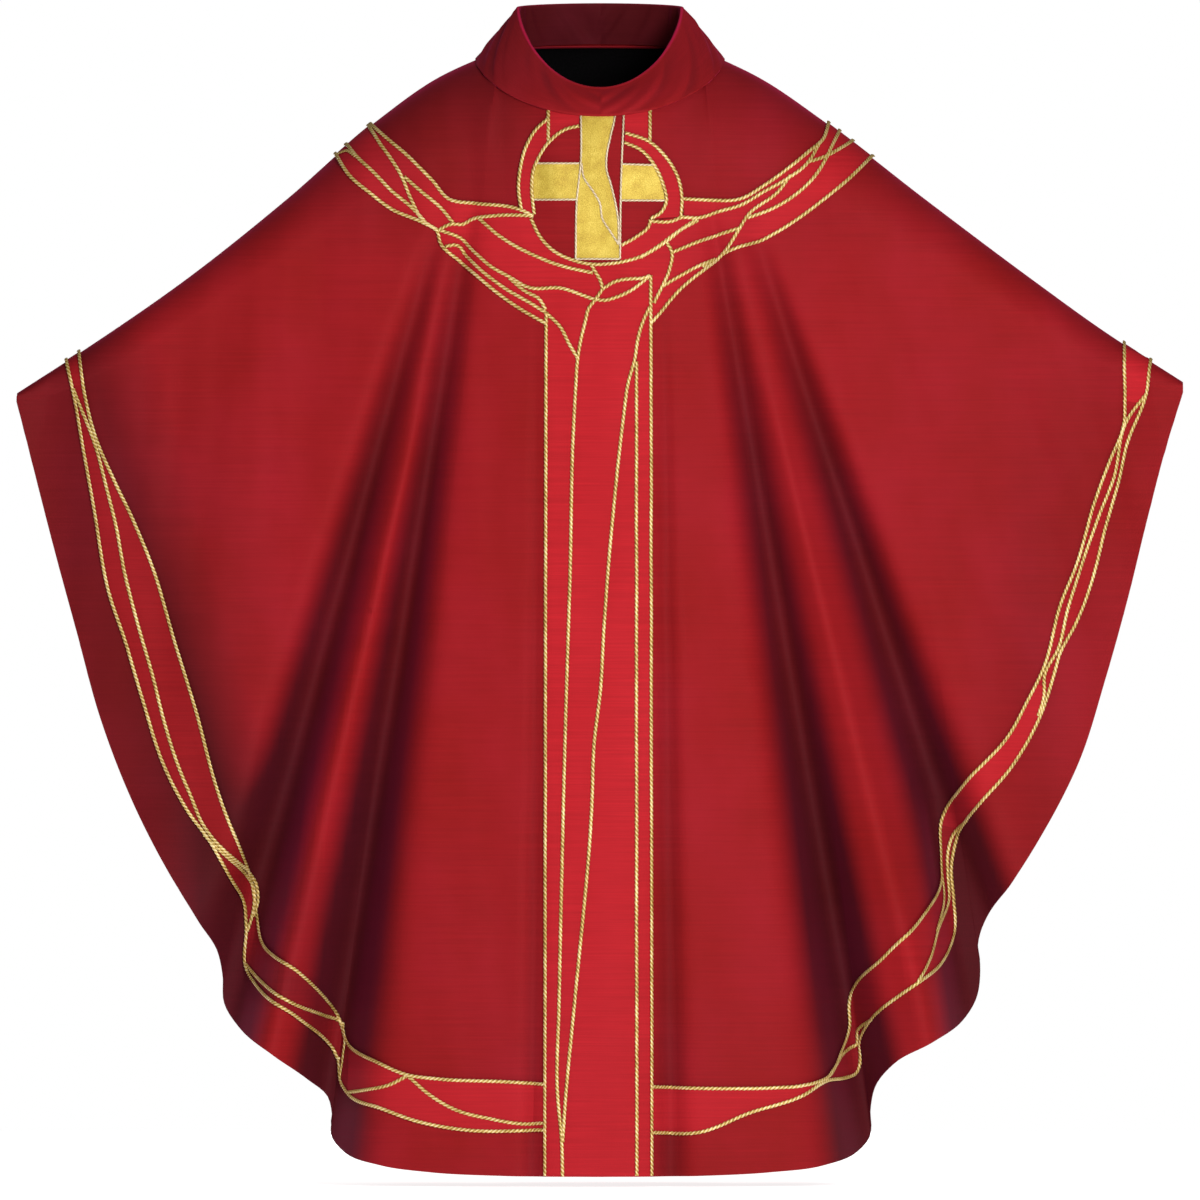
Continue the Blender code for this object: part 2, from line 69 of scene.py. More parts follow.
# Steps of each cloth's grid: from wing tip to wing tip, from seam to hem, and those of them that turn the shoulder.
ACROSS_STEPS, DOWN_STEPS, TURN_STEPS = 360, 190, 34
CLOTH, APPLIQUE, TAPE, COLLAR = 0.0011, 0.0008, 0.0008, 0.0012
TAPE_DROP, SHADE_SHEET_DROP = 0.0024, 0.0034
# Edges sharper than this many degrees stay crisp, and fill points keep this many grid steps from an outline.
SHARP_FROM, CLEAR_OF_EDGE = 60, 0.35

# How far each layer lies off the silk: applied pieces, pieces flush on them, raised pieces, and braids on each.
APPLIQUE_LIFT, FLUSH_LIFT, SECOND_LIFT = 0.0008, 0.0012, 0.0022
BRAID_LIFT, SECOND_BRAID_LIFT = 0.0018, 0.0032
BRAID_HALF, FINE_BRAID_HALF = 0.0022, 0.0013
BRAID_SIDES, BRAID_STEP, BRAID_PITCH = 9, 0.0011, 0.0052
# A braid's middle stands this share of its half width off the cloth, and it is flatter than it is wide.
BRAID_SEAT, BRAID_FLATNESS = 0.55, 0.50
STRIP_FINER, BRAID_FINER = 3, 4
LINE_STEP, OUTLINE_STEP, STRIP_STEP, STRIP_ROWS, STRAIGHT_STEPS = 0.004, 0.003, 0.005, 14, 400

# The share of each half, from the wing tip, that is shoulder; the rest is the neck's edge.
NECK_SHARE = 0.8
NECK_HALF_WIDTH, NECK_FRONT, NECK_BACK = 0.118, 0.097, 0.085
NECK_LEVEL, NECK_FRONT_DROP = 0.012, 0.064
TURN_DROP = 1.3

SHOULDERS = {
    "left": mm(-679, -388, -594, -333, -483, -256, -366, -163, -259, -70, -193, -23, -118, 12),
    "right": mm(679, -375, 586, -315, 504, -256, 380, -163, 259, -70, 190, -23, 118, 12),
}
HEMS = {
    "left": mm(-679, -398, -655, -495, -633, -580, -610, -664, -581, -769, -545, -862, -513, -926, -466, -1004,
               -445, -1037, -439, -1066, -438, -1098, -419, -1128, -381, -1157, -339, -1187, -317, -1207, -312, -1229,
               -313, -1252, -297, -1271, -256, -1285, -198, -1293, -117, -1297, 0, -1298),
    "right": mm(679, -387, 659, -452, 637, -536, 614, -629, 588, -722, 558, -816, 510, -909, 478, -959, 452, -995,
                440, -1031, 443, -1062, 438, -1094, 421, -1120, 386, -1143, 341, -1168, 320, -1194, 314, -1224,
                314, -1254, 299, -1271, 261, -1285, 198, -1293, 117, -1297, 0, -1298),
}

# How far the cloth stands out from the shoulder line, and flares by the hem, from tip (0) to middle (1).
STAND_OUT = [(0.0, 0.012), (0.12, 0.035), (0.4, 0.055), (0.6, 0.072), (0.8, 0.094), (1.0, 0.120)]
FLARE = [(0.0, 0.0), (0.3, 0.015), (0.6, 0.03), (0.8, 0.06), (1.0, 0.070)]

# Folds as (top x, top z, hem x, hem z, depth at the hem, width at the hem); a ridge has a negative depth.
FRONT_FOLDS = [
    (-0.190, -0.20, -0.425, -1.07, 0.094, 0.038), (-0.195, -0.36, -0.395, -1.17, -0.026, 0.024),
    (-0.150, -0.17, -0.325, -1.26, 0.104, 0.038), (0.128, -0.17, 0.315, -1.26, 0.104, 0.038),
    (0.190, -0.36, 0.400, -1.20, -0.026, 0.024), (0.178, -0.20, 0.450, -1.03, 0.094, 0.038),
    (0.074, -0.26, 0.082, -1.30, 0.020, 0.017), (-0.074, -0.28, -0.077, -1.30, 0.012, 0.011),
    (-0.590, -0.35, -0.470, -0.80, 0.010, 0.040), (0.480, -0.36, 0.520, -0.90, 0.006, 0.040),
    (0.385, -0.86, 0.425, -1.09, 0.060, 0.030),
]
BACK_FOLDS = [
    (-0.200, -0.22, -0.435, -1.07, 0.070, 0.036), (-0.160, -0.22, -0.316, -1.23, 0.080, 0.034),
    (-0.070, -0.30, -0.140, -1.30, 0.040, 0.036), (0.070, -0.30, 0.150, -1.30, 0.040, 0.036),
    (0.160, -0.22, 0.317, -1.23, 0.080, 0.034), (0.200, -0.22, 0.441, -1.06, 0.070, 0.036),
]

# How far below the shoulder seam its painted pink sheen reaches.
SEAM_SHEEN_REACH = 0.005

# How far the free edge of each wing curls back and how strong the painted shade beside it is, and the breadth of both.
EDGE_CURL = {"left": 0.036, "right": 0.020}
EDGE_SHADE = {"left": 0.57, "right": 0.13}
CURL_WIDTH, EDGE_SHADE_WIDTH = 0.130, 0.175
# The share of the silk's painted shade that the applied pieces take, and the depth of a fold in full painted shade.
APPLIED_SHADE, FULL_SHADE = 0.35, 0.040

# Soft patches of painted shade, as (x, z, half width, half height, strength on the silk, strength on applied pieces).
FRONT_SHADES = [
    (-0.45, -0.78, 0.07, 0.22, 0.26, 0.00), (-0.50, -0.55, 0.08, 0.20, 0.16, 0.00),
    (0.48, -0.55, 0.14, 0.25, 0.12, 0.00), (0.00, -1.32, 0.90, 0.42, 0.13, 0.16),
    (-0.362, -1.075, 0.055, 0.050, 0.00, 0.50), (0.14, -0.22, 0.06, 0.05, 0.00, 0.22),
    (-0.24, -0.12, 0.05, 0.05, 0.10, 0.22),
]

# ---------------------------------------------------------------- lines of the design, as (x, z)

ARM_TOP = {
    "left": mm(-271, -71, -264, -78, -246, -94, -223, -113, -195, -141, -175, -163, -143, -168, -91, -176, -77, -183),
    "right": mm(267, -67, 264, -77, 259, -93, 242, -108, 216, -129, 189, -148, 162, -163, 123, -164, 96, -163),
}
ARM_BOTTOM = {
    "left": mm(-310, -105, -304, -115, -292, -134, -267, -156, -241, -175, -204, -191, -189, -200, -185, -213,
               -150, -245, -118, -273, -92, -291, -62.5, -308),
    "right": mm(322, -107, 315, -114, 296, -133, 261, -162, 225, -189, 195, -207, 147, -225, 118, -247, 91, -270,
                73, -291, 58.5, -308),
}
ARM_LINES = {
    "left": [
        mm(-272, -72, -267, -80, -255, -99, -242, -117, -231, -135, -219, -163, -204, -189, -188, -199),
        mm(-227, -137, -204, -157, -182, -176, -171, -190),
        mm(-298, -95, -291, -103, -281, -115, -263, -132, -241, -154, -217, -174, -204, -188),
        mm(-305, -112, -292, -108, -283, -114),
        mm(-188, -199, -172, -192, -161, -192, -147, -186, -127, -183, -92, -182, -77, -183),
        mm(-139, -186, -118, -205, -92, -221, -44, -241, -8, -249),
        mm(-185, -199, -161, -209, -143, -226, -127, -241, -106, -253, -82, -266, -44, -267, -20, -275, -6, -280),
        mm(-179, -218, -169, -216, -153, -230, -135, -248, -110, -267, -79, -285, -62, -296),
        mm(-105, -255, -87, -270, -70, -280, -63, -292),
    ],
    "right": [
        mm(57, -189, 83, -189, 93, -185, 113, -185, 135, -178, 161, -171, 189, -155, 216, -140, 239, -123, 255, -97),
        mm(242, -120, 261, -114, 278, -105, 292, -96, 299, -89),
        mm(280, -78, 276, -87, 269, -101, 261, -118, 245, -141, 221, -162, 198, -175, 171, -185),
        mm(221, -135, 207, -154, 171, -182, 161, -198, 143, -227, 118, -242),
        mm(84, -225, 118, -211, 161, -197),
        mm(76, -212, 83, -225, 80, -246, 71, -266, 62, -284),
        mm(73, -264, 90, -254, 118, -239, 132, -233),
        mm(47, -231, 70, -216, 93, -199, 113, -188),
    ],
}
BACK_ARM_LINES = {"left": (0, 1, 2, 3, 4, 7), "right": (1, 2, 3)}
RING_OUTER = {
    "left": mm(-60, -71, -75, -85, -86, -104, -92, -127, -94, -149, -91, -175),
    "right": mm(29, -87, 58, -98, 76, -115, 90, -140, 94, -162, 93, -184),
}
RING_INNER = {
    "left": mm(-24, -79, -40, -83, -58, -97, -70, -115, -77, -130, -79, -149, -76, -181),
    "right": mm(28, -98, 47, -107, 63, -125, 73, -147, 76, -168, 71, -178, 58, -186),
}
BOWL = mm(-80, -186, -70, -206, -54, -223, -29, -235, -10, -239, 15, -238, 47, -230, 76, -213, 97, -196, 113, -186)
INNER_BOWL = mm(58, -187, 57, -193, 42, -207, 25, -217)
LEAF_LOWER = mm(-5, -280, 6, -281, 20, -277, 35, -270, 47, -261, 58, -252)
LEAF_UPPER = mm(3, -268, 16, -260, 26, -257, 37, -256, 50, -255, 58, -252)
STEM_TOP = mm(-10, -240, -4, -250, 1, -259, 3, -268)
STEM = mm(3, -268, -5, -280, -13, -291, -17, -306, -22, -326, -26, -350, -28, -382, -30, -419, -35, -617, -38, -716,
          -42, -862, -47, -1095, -49, -1200, -44, -1258, -43, -1298)
VEIN = mm(57, -289, 50, -304, 44, -324, 40, -350, 33, -375, 27, -419, 15, -532, 5, -659, 1, -730, -7, -800, -9, -862,
          -29, -1095, -40, -1212, -43, -1258)
PILLAR_CORNER = mm(-62, -296, -45, -313, -36, -331, -26, -348)
PILLAR_LEFT, PILLAR_FACET, PILLAR_RIGHT = -0.0625, 0.0420, 0.0585
CROSS_VEIN = mm(-21, -122, -19, -137, -8, -154, 0, -168, 3, -186, 13, -202, 22, -216)
CROSS_EDGE = mm(18, -60, 17, -70, 12, -92, 8, -113, 8, -130, 12.5, -145, 17, -163, 21, -185, 22, -216)
BORDER_INNER = {
    "left": mm(-606, -338, -599, -388, -589, -431, -565, -490, -543, -535, -521, -588, -494, -676, -468, -761,
               -447, -840, -424, -908, -407, -958, -398, -996, -390, -1030, -353, -1060, -327, -1086, -302, -1120,
               -289, -1148, -257, -1166, -224, -1180, -186, -1185, -113, -1188, -62.5, -1191),
    "right": mm(609, -328, 610, -397, 609, -424, 592, -468, 574, -518, 556, -581, 534, -638, 517, -705, 496, -747,
                476, -784, 426, -842, 396, -891, 395, -927, 394, -961, 372, -998, 329, -1046, 301, -1074, 290, -1099,
                289, -1124, 278, -1155, 264, -1182, 233, -1193, 205, -1195, 132, -1196, 58.5, -1194),
}
BORDER_OUTER = {
    "left": mm(-621, -349, -610, -397, -601, -449, -589, -515, -570, -622, -552, -676, -532, -743, -507, -820,
               -479, -875, -453, -910, -430, -955, -417, -979, -412, -1008, -410, -1058, -393, -1083, -353, -1114,
               -319, -1143, -304, -1163, -299, -1191, -288, -1206, -254, -1219, -212, -1234, -155, -1244, -62.5, -1244),
    "right": mm(642, -342, 640, -351, 635, -389, 613, -446, 602, -493, 588, -543, 570, -612, 553, -656, 534, -693,
                529, -712, 510, -767, 476, -825, 447, -860, 417, -905, 409, -941, 411, -976, 411, -1014, 394, -1052,
                368, -1074, 315, -1120, 305, -1139, 303, -1168, 296, -1180, 280, -1185.5, 264, -1187, 233, -1205,
                174, -1224, 114, -1247, 58.5, -1247),
}
BORDER_LINES = {
    "left": [
        mm(-612, -383, -584, -457, -574, -497, -563, -542, -552, -600, -534, -669, -521, -714, -506, -772, -490, -822,
           -474, -861, -463, -887, -450, -906, -430, -927, -411, -945, -400, -962, -397, -981, -403, -998),
        mm(-460, -902, -435, -927, -416, -946, -404, -965, -403, -990, -410, -1015),
        mm(-412, -1052, -393, -1072, -359, -1097, -325, -1111, -299, -1123, -295, -1139, -297, -1160, -301, -1187),
        mm(-224, -1180, -195, -1205, -161, -1223, -127, -1231, -87, -1237, -65, -1236),
        mm(-291, -1202, -268, -1198, -246, -1193, -224, -1182),
    ],
    "right": [
        mm(635, -389, 613, -419, 596, -490, 580, -531, 562, -581, 544, -638, 532, -687, 517, -716, 516, -740,
           509, -764),
        mm(429, -885, 411, -904, 405, -923, 404, -946, 404, -979, 391, -1012, 382, -1044, 368, -1073),
        mm(395, -941, 398, -979, 389, -1015),
        mm(318, -1116.5, 302, -1129.5, 299.4, -1146, 290, -1150, 281.5, -1156, 272, -1170, 261, -1185.7),
    ],
}
EDGES = {"arm_top": ARM_TOP, "arm_bottom": ARM_BOTTOM, "border_inner": BORDER_INNER, "border_outer": BORDER_OUTER}
HEM_LINE = -1.298
BRAID_END = HEM_LINE + 0.001


# ---------------------------------------------------------------- curves

def unit(values):
    return np.clip(values, 0, 1)


def bell(x, middle, width):
    return np.exp(-((x - middle) / width) ** 2)


def sizes(vectors):
    return np.linalg.norm(vectors, axis=1)


def read_at(values, knots, at):
    """Rows of values at knots, read between them by straight steps."""
    return np.stack([np.interp(at, knots, column) for column in values.T], axis=1)


def eased(u, gap, a, b, leave, arrive):
    """A cubic from a to b over a gap, read at shares u, with its slopes at both ends."""
    start = (1 + 2 * u) * (1 - u) ** 2 * a + u * (1 - u) ** 2 * gap * leave
    return start + u * u * (3 - 2 * u) * b + u * u * (u - 1) * gap * arrive


def shares(points):
    steps = sizes(np.diff(points, axis=0))
    walked = np.concatenate([[0.0], np.cumsum(steps)])
    return walked / walked[-1]


def smooth(knots, values, at):
    """A curve through (knot, value) pairs that never overshoots them, read at many places at once."""
    knots, values, at = np.asarray(knots, float), np.asarray(values, float), np.asarray(at, float)
    gaps = np.diff(knots)
    slopes = np.diff(values) / gaps
    tangents = np.zeros_like(values)
    same = slopes[1:] * slopes[:-1] > 0
    mean = 2 * slopes[1:] * slopes[:-1] / np.where(same, slopes[1:] + slopes[:-1], 1.0)
    tangents[1:-1] = np.where(same, mean, 0.0)
    tangents[0], tangents[-1] = slopes[0], slopes[-1]
    cell = np.clip(np.searchsorted(knots, at, side="right") - 1, 0, len(gaps) - 1)
    u = np.clip((at - knots[cell]) / gaps[cell], 0.0, 1.0)
    return eased(u, gaps[cell], values[cell], values[cell + 1], tangents[cell], tangents[cell + 1])


def rounded(points, at):
    """A Catmull-Rom curve through points, read at shares of its length."""
    points = np.asarray(points, float)
    knots = shares(points)
    gaps = np.diff(knots)[:, None]
    slopes = np.diff(points, axis=0) / gaps
    tangents = np.vstack([slopes[:1], (slopes[1:] * gaps[:-1] + slopes[:-1] * gaps[1:]) / (gaps[1:] + gaps[:-1]),
                          slopes[-1:]])
    at = np.asarray(at, float)
    cell = np.clip(np.searchsorted(knots, at, side="right") - 1, 0, len(gaps) - 1)
    gap = gaps[cell]
    u = ((at - knots[cell]) / gap[:, 0])[:, None]
    return eased(u, gap, points[cell], points[cell + 1], tangents[cell], tangents[cell + 1])


def densely(line, spacing=0.0015):
    line = np.asarray(line, float)
    length = sizes(np.diff(line, axis=0)).sum()
    return rounded(line, np.linspace(0, 1, max(8, int(length / spacing))))


# ---------------------------------------------------------------- the draped cloth

def ripple(a, b, seed):
    """Soft uneven noise from -1 to 1 over two arrays."""
    shape = np.shape(a)
    flat = [noise.noise(Vector((x, y, seed))) for x, y in zip(np.ravel(a), np.ravel(b))]
    return np.array(flat).reshape(shape)


class Cloth:
    """One side of the garment, as a grid of points over (across, down)."""

    def __init__(self, front):
        self.front = front
        self.forward = -1.0 if front else 1.0
        self.folds = FRONT_FOLDS if front else BACK_FOLDS
        self.across = np.linspace(-1, 1, ACROSS_STEPS + 1)
        turn = np.linspace(0, 1, TURN_STEPS + 1)
        fall = np.linspace(0, 1, DOWN_STEPS - TURN_STEPS + 1)[1:]
        self.down = np.concatenate([turn, 1 + fall])
        self.tops, self.hems, self.top_depth = self.edges(self.across)
        self.points = self.drape()
        self.normals = self.find_normals(self.points)

    def edges(self, across):
        """The top and the hem of each column in the front view, and the depth of its top."""
        share = 1 - np.abs(across)
        hems = np.where((across < 0)[:, None], rounded(HEMS["left"], share), rounded(HEMS["right"], share))
        on_seam = np.minimum(share / NECK_SHARE, 1.0)
        tops = np.where((across < 0)[:, None], rounded(SHOULDERS["left"], on_seam),
                        rounded(SHOULDERS["right"], on_seam))
        angle = unit((share - NECK_SHARE) / (1 - NECK_SHARE)) * math.pi / 2
        neck = angle > 0
        out = np.sin(angle)
        reach = NECK_FRONT if self.front else NECK_BACK
        drop = -NECK_FRONT_DROP * out ** 1.3 if self.front else 0.006 * out
        tops[:, 0] = np.where(neck, np.sign(across) * NECK_HALF_WIDTH * np.cos(angle), tops[:, 0])
        tops[:, 1] = np.where(neck, NECK_LEVEL + drop, tops[:, 1])
        return tops, hems, np.where(neck, reach * out, 0.0)

    def drape(self):
        share = (1 - np.abs(self.across))[:, None]
        down = self.down[None, :]
        lengths = sizes(self.hems - self.tops)[:, None]
        out = smooth(*zip(*STAND_OUT), share)
        radius = np.minimum(TURN_DROP * out, 0.4 * lengths)
        angle = np.minimum(down, 1.0) * math.pi / 2
        fallen = np.maximum(down - 1.0, 0.0)
        walked = radius * (1 - np.cos(angle)) + (lengths - radius) * fallen
        self.drops = walked
        flat = self.tops[:, None, :] + (self.hems - self.tops)[:, None, :] * (walked / lengths)[:, :, None]
        x, z = flat[:, :, 0], flat[:, :, 1]
        start = self.top_depth[:, None]
        stand = start + (np.maximum(out, start) - start) * np.sin(angle)
        stand = stand + smooth(*zip(*FLARE), share) * fallen ** 1.2
        stand = self.evened(stand, x)
        hung = np.minimum(down, 1.0) ** 2
        depth = stand - self.fold_depth(x, z) * hung + self.wrinkles(x, z) * np.sin(angle)
        depth = depth - self.curl(x, z, share) * hung
        over = depth - 0.006 * np.sin(angle)
        depth = depth - over / 2 + np.sqrt(over ** 2 + (0.014 * np.sin(angle)) ** 2) / 2
        return np.stack([x, self.forward * (depth + 0.0004), z], axis=2)

    def evened(self, stand, x):
        """Rounds off the line that runs down from each corner of the neck; the top rows stay as they are."""
        even = stand.copy()
        first = TURN_STEPS // 3
        for row in range(first, stand.shape[1]):
            reach = 0.004 + 0.030 * min(1.0, (row - first) / TURN_STEPS)
            gaps = (x[:, row][:, None] - x[:, row][None, :]) / reach
            weight = np.exp(-gaps ** 2) * np.abs(np.gradient(x[:, row]))
            edge = unit(np.minimum(x[:, row] - x[0, row], x[-1, row] - x[:, row]) / (2.5 * reach))
            blend = edge * min(1.0, (row - first) / 6)
            rounded_off = (weight * stand[:, row]).sum(axis=1) / weight.sum(axis=1)
            even[:, row] = stand[:, row] * (1 - blend) + rounded_off * blend
        return even

    def edge_turn(self, x, z, width):
        """From 0 inside to 1 at the free hem, for the left and the right wing."""
        turns = {}
        for side, sign in (("left", -1), ("right", 1)):
            near = np.full(x.shape, np.inf)
            for hem_x, hem_z in rounded(HEMS[side], np.linspace(0, 0.72, 160)):
                near = np.minimum(near, (x - hem_x) ** 2 + (z - hem_z) ** 2)
            turned = unit(1 - np.sqrt(near) / width)
            turns[side] = turned * (np.sign(x) == sign) * unit((z + 1.10) / 0.25)
        return turns

    def curl(self, x, z, share):
        """The free edge of each wing turns gently back towards the other side of the garment."""
        turns = self.edge_turn(x, z, CURL_WIDTH)
        total = sum(EDGE_CURL[side] * turned ** 1.6 for side, turned in turns.items())
        return total * unit(share / 0.06)

    def fold_depth(self, x, z):
        total = np.zeros_like(x)
        for top_x, top_z, hem_x, hem_z, depth, width in self.folds:
            down = np.clip((top_z - z) / (top_z - hem_z), 0.0, 1.15)
            middle = top_x + (hem_x - top_x) * down
            spread = width * (0.34 + 0.66 * down)
            total += depth * down ** 0.70 * bell(x, middle, spread)
        return total

    def deep(self, flat, applied=False):
        """The painted shade of the silk at (x, z) points, from 0 to 1: deep inside a fold, by a free edge, near the
        shoulders and in patches.
        """
        flat = np.asarray(flat, float)
        x, z = flat[:, 0], flat[:, 1]
        patches = sum(strengths[applied] * np.exp(-((x - at_x) / half_width) ** 2 - ((z - at_z) / half_height) ** 2)
                      for at_x, at_z, half_width, half_height, *strengths in FRONT_SHADES)
        shade = unit(self.fold_depth(x, z) / FULL_SHADE) ** 1.15 * np.interp(z, [-0.95, -0.65], [1.0, 0.8])
        turns = self.edge_turn(x, z, EDGE_SHADE_WIDTH)
        shade += sum(EDGE_SHADE[side] * unit(turned * 2.2) for side, turned in turns.items())
        # Painted shade darkening towards the shoulders above z -0.24, stronger on the left and fading out at the
        # middle.
        high = unit((z + 0.24) / 0.24) * np.where(x < 0, 0.60, 0.32)
        shade = unit(shade + high * unit((np.abs(x) - 0.03) / 0.08))
        return unit(shade * (APPLIED_SHADE if applied else 1.0) + (patches if self.front else 0.0))

    def wrinkles(self, x, z):
        """Long uneven swells that lean outwards with the folds, and small puckers."""
        lean = x / (1.0 + 0.45 * np.clip(-z, 0, 1.3))
        seed = 3.0 if self.front else 9.0
        long_swell = ripple(lean * 16, z * 2.2, seed) * 0.006
        short_swell = ripple(lean * 42 + z * 5, z * 7, seed + 2) * 0.0016
        return long_swell + short_swell

    def find_normals(self, points):
        normals = np.cross(np.gradient(points, axis=1), np.gradient(points, axis=0))
        normals *= -self.forward
        normals[:, 0, 1] *= self.top_depth > 0.001
        return normals / np.maximum(np.linalg.norm(normals, axis=2, keepdims=True), 1e-9)

    def locate(self, flat):
        """Grid places (across index, down index) of (x, z) points of the front view."""
        flat = np.asarray(flat, float)
        low, high = np.full(len(flat), -1.0), np.full(len(flat), 1.0)
        for _ in range(36):
            middle = (low + high) / 2
            tops, hems, _depth = self.edges(middle)
            fall, gone = hems - tops, flat - tops
            right_of = fall[:, 0] * gone[:, 1] - fall[:, 1] * gone[:, 0] > 0
            low, high = np.where(right_of, middle, low), np.where(right_of, high, middle)
        column = (middle + 1) / 2 * ACROSS_STEPS
        tops, hems, _depth = self.edges(middle)
        fall = hems - tops
        length = sizes(fall)
        walked = np.clip(((flat - tops) * fall).sum(axis=1) / length, 0, length)
        left = np.clip(column.astype(int), 0, ACROSS_STEPS - 1)
        mix = (column - left)[:, None]
        drops = self.drops[left] * (1 - mix) + self.drops[left + 1] * mix
        row = np.array([np.interp(w, d, np.arange(DOWN_STEPS + 1)) for w, d in zip(walked, drops)])
        return np.stack([column, row], axis=1)

    def sample(self, places):
        """Points and normals of the cloth at grid places."""
        column = np.clip(places[:, 0], 0, ACROSS_STEPS - 1e-6)
        row = np.clip(places[:, 1], 0, DOWN_STEPS - 1e-6)
        i, j = column.astype(int), row.astype(int)
        u, v = (column - i)[:, None], (row - j)[:, None]
        found = []
        for grid in (self.points, self.normals):
            top = grid[i, j] * (1 - u) + grid[i + 1, j] * u
            bottom = grid[i, j + 1] * (1 - u) + grid[i + 1, j + 1] * u
            found.append(top * (1 - v) + bottom * v)
        points, normals = found
        return points, normals / np.linalg.norm(normals, axis=1, keepdims=True)

    def carry(self, flat, lift):
        """Points of the front view carried onto the cloth, lifted off it by a distance."""
        points, normals = self.sample(self.locate(flat))
        return points + normals * lift, normals


# ---------------------------------------------------------------- mesh making

def put(name, data):
    """A new object in the scene."""
    made = bpy.data.objects.new(name, data)
    bpy.context.scene.collection.objects.link(made)
    return made


def mesh_object(name, points, faces, material, uvs):
    mesh = bpy.data.meshes.new(name)
    mesh.from_pydata(np.asarray(points).tolist(), [], faces)
    mesh.materials.append(material)
    layer = mesh.uv_layers.new(name="UVMap")
    corners = np.zeros(len(mesh.loops), dtype=np.int32)
    mesh.loops.foreach_get("vertex_index", corners)
    layer.data.foreach_set("uv", np.asarray(uvs, dtype=np.float32)[corners].ravel())
    mesh.shade_smooth()
    return put(name, mesh)


def mark(made, name, values):
    """Keeps a number with each vertex, such as its depth in a fold, for the silk's painted shade and painted sheen."""
    made.data.attributes.new(name, "FLOAT", "POINT").data.foreach_set("value", np.asarray(values, np.float32))


def thicken(made, thickness, offset):
    """Gives a sheet its thickness; an offset of 1 grows it outwards and -1 inwards."""
    solid = made.modifiers.new("thickness", "SOLIDIFY")
    solid.thickness = thickness
    solid.offset = offset
    solid.use_even_offset = False
    evaluated = made.evaluated_get(bpy.context.evaluated_depsgraph_get())
    mesh = bpy.data.meshes.new_from_object(evaluated)
    made.modifiers.clear()
    made.data = mesh
    mesh.shade_smooth()
    mesh.set_sharp_from_angle(angle=math.radians(SHARP_FROM))


def grid_faces(columns, rows, flip=False, closed=False):
    faces = []
    for i in range(columns if closed else columns - 1):
        for j in range(rows - 1):
            following = (i + 1) % columns
            face = (i * rows + j, i * rows + j + 1, following * rows + j + 1, following * rows + j)
            faces.append(face[::-1] if flip else face)
    return faces


def register(made, nodes):
    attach(made, "root")
    if nodes:
        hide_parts(*nodes)


def lay(name, cloth, places, faces, lift, stuff, nodes):
    base, normals = cloth.sample(places)
    flat = base[:, (0, 2)]
    made = mesh_object(name, base + normals * lift, faces, stuff, flat)
    # The applied pieces carry a share of the silk's painted shade.
    mark(made, "deep", cloth.deep(flat, applied=True))
    face_out(made, cloth)
    thicken(made, APPLIQUE, 1.0)
    register(made, nodes)


def filled(name, cloth, outline, lift, stuff, nodes=()):
    """A flat shape cut from cloth and laid on the garment: its outline, filled with points of the cloth's grid."""
    outline = stepped(cloth.locate(stepped(np.asarray(outline, float), OUTLINE_STEP)), 1.0)
    outline = outline[sizes(outline - np.roll(outline, 1, axis=0)) > 1e-4]
    low, high = np.floor(outline.min(axis=0)), np.ceil(outline.max(axis=0))
    steps = [np.arange(a, b + 1) for a, b in zip(low, high)]
    inside = np.stack(np.meshgrid(*steps, indexing="ij"), axis=2).reshape(-1, 2)
    inside = inside[within(inside, outline) & (distance_to(inside, outline) > CLEAR_OF_EDGE)]
    count = len(outline)
    points = [Vector(point) for point in np.vstack([outline, inside])]
    edges = [(i, (i + 1) % count) for i in range(count)]
    places, _edges, faces, *_origins = geometry.delaunay_2d_cdt(points, edges, [tuple(range(count))], 1, 1e-5)
    lay(name, cloth, np.array([tuple(place) for place in places]), [tuple(face) for face in faces], lift, stuff, nodes)


def stepped(outline, spacing):
    """An outline with its long sides broken into short steps, so that it can follow a curved cloth."""
    points = []
    for a, b in zip(outline, np.roll(outline, -1, axis=0)):
        steps = max(1, math.ceil(np.linalg.norm(b - a) / spacing - 1e-9))
        points += [a + (b - a) * step / steps for step in range(steps)]
    return np.array(points)


def finer(places, times):
    """Grid places joined by straight steps on the cloth, which keeps them on it where it turns fast."""
    at = np.arange((len(places) - 1) * times + 1) / times
    return read_at(places, np.arange(len(places)), at)


def face_out(made, cloth):
    normal = sum((polygon.normal * polygon.area for polygon in made.data.polygons), Vector())
    if normal.y * cloth.forward < 0:
        made.data.flip_normals()


def within(points, outline):
    inside = np.zeros(len(points), dtype=bool)
    following = np.roll(outline, -1, axis=0)
    for (ax, az), (bx, bz) in zip(outline, following):
        if az == bz:
            continue
        crosses = (az > points[:, 1]) != (bz > points[:, 1])
        inside ^= crosses & (points[:, 0] < (bx - ax) * (points[:, 1] - az) / (bz - az) + ax)
    return inside


def distance_to(points, outline):
    best = np.full(len(points), np.inf)
    for a, b in zip(outline, np.roll(outline, -1, axis=0)):
        side = b - a
        share = unit(((points - a) @ side) / max(side @ side, 1e-12))
        best = np.minimum(best, sizes(points - a - share[:, None] * side))
    return best


def border(name, cloth, side, stuff, node):
    """The band between the inner and the outer line of a border, laid on the garment."""
    lines = BORDER_INNER[side], BORDER_OUTER[side]
    at = np.linspace(0, 1, max(len(densely(line, STRIP_STEP)) for line in lines))
    inner, outer = (rounded(line, at)[:, None] for line in lines)
    mix = np.linspace(0, 1, STRIP_ROWS)[None, :, None]
    rows = inner * (1 - mix) + outer * mix
    places = np.stack([finer(cloth.locate(rows[:, row]), STRIP_FINER) for row in range(STRIP_ROWS)], axis=1)
    lay(name, cloth, places.reshape(-1, 2), grid_faces(len(places), STRIP_ROWS), APPLIQUE_LIFT, stuff, [node])


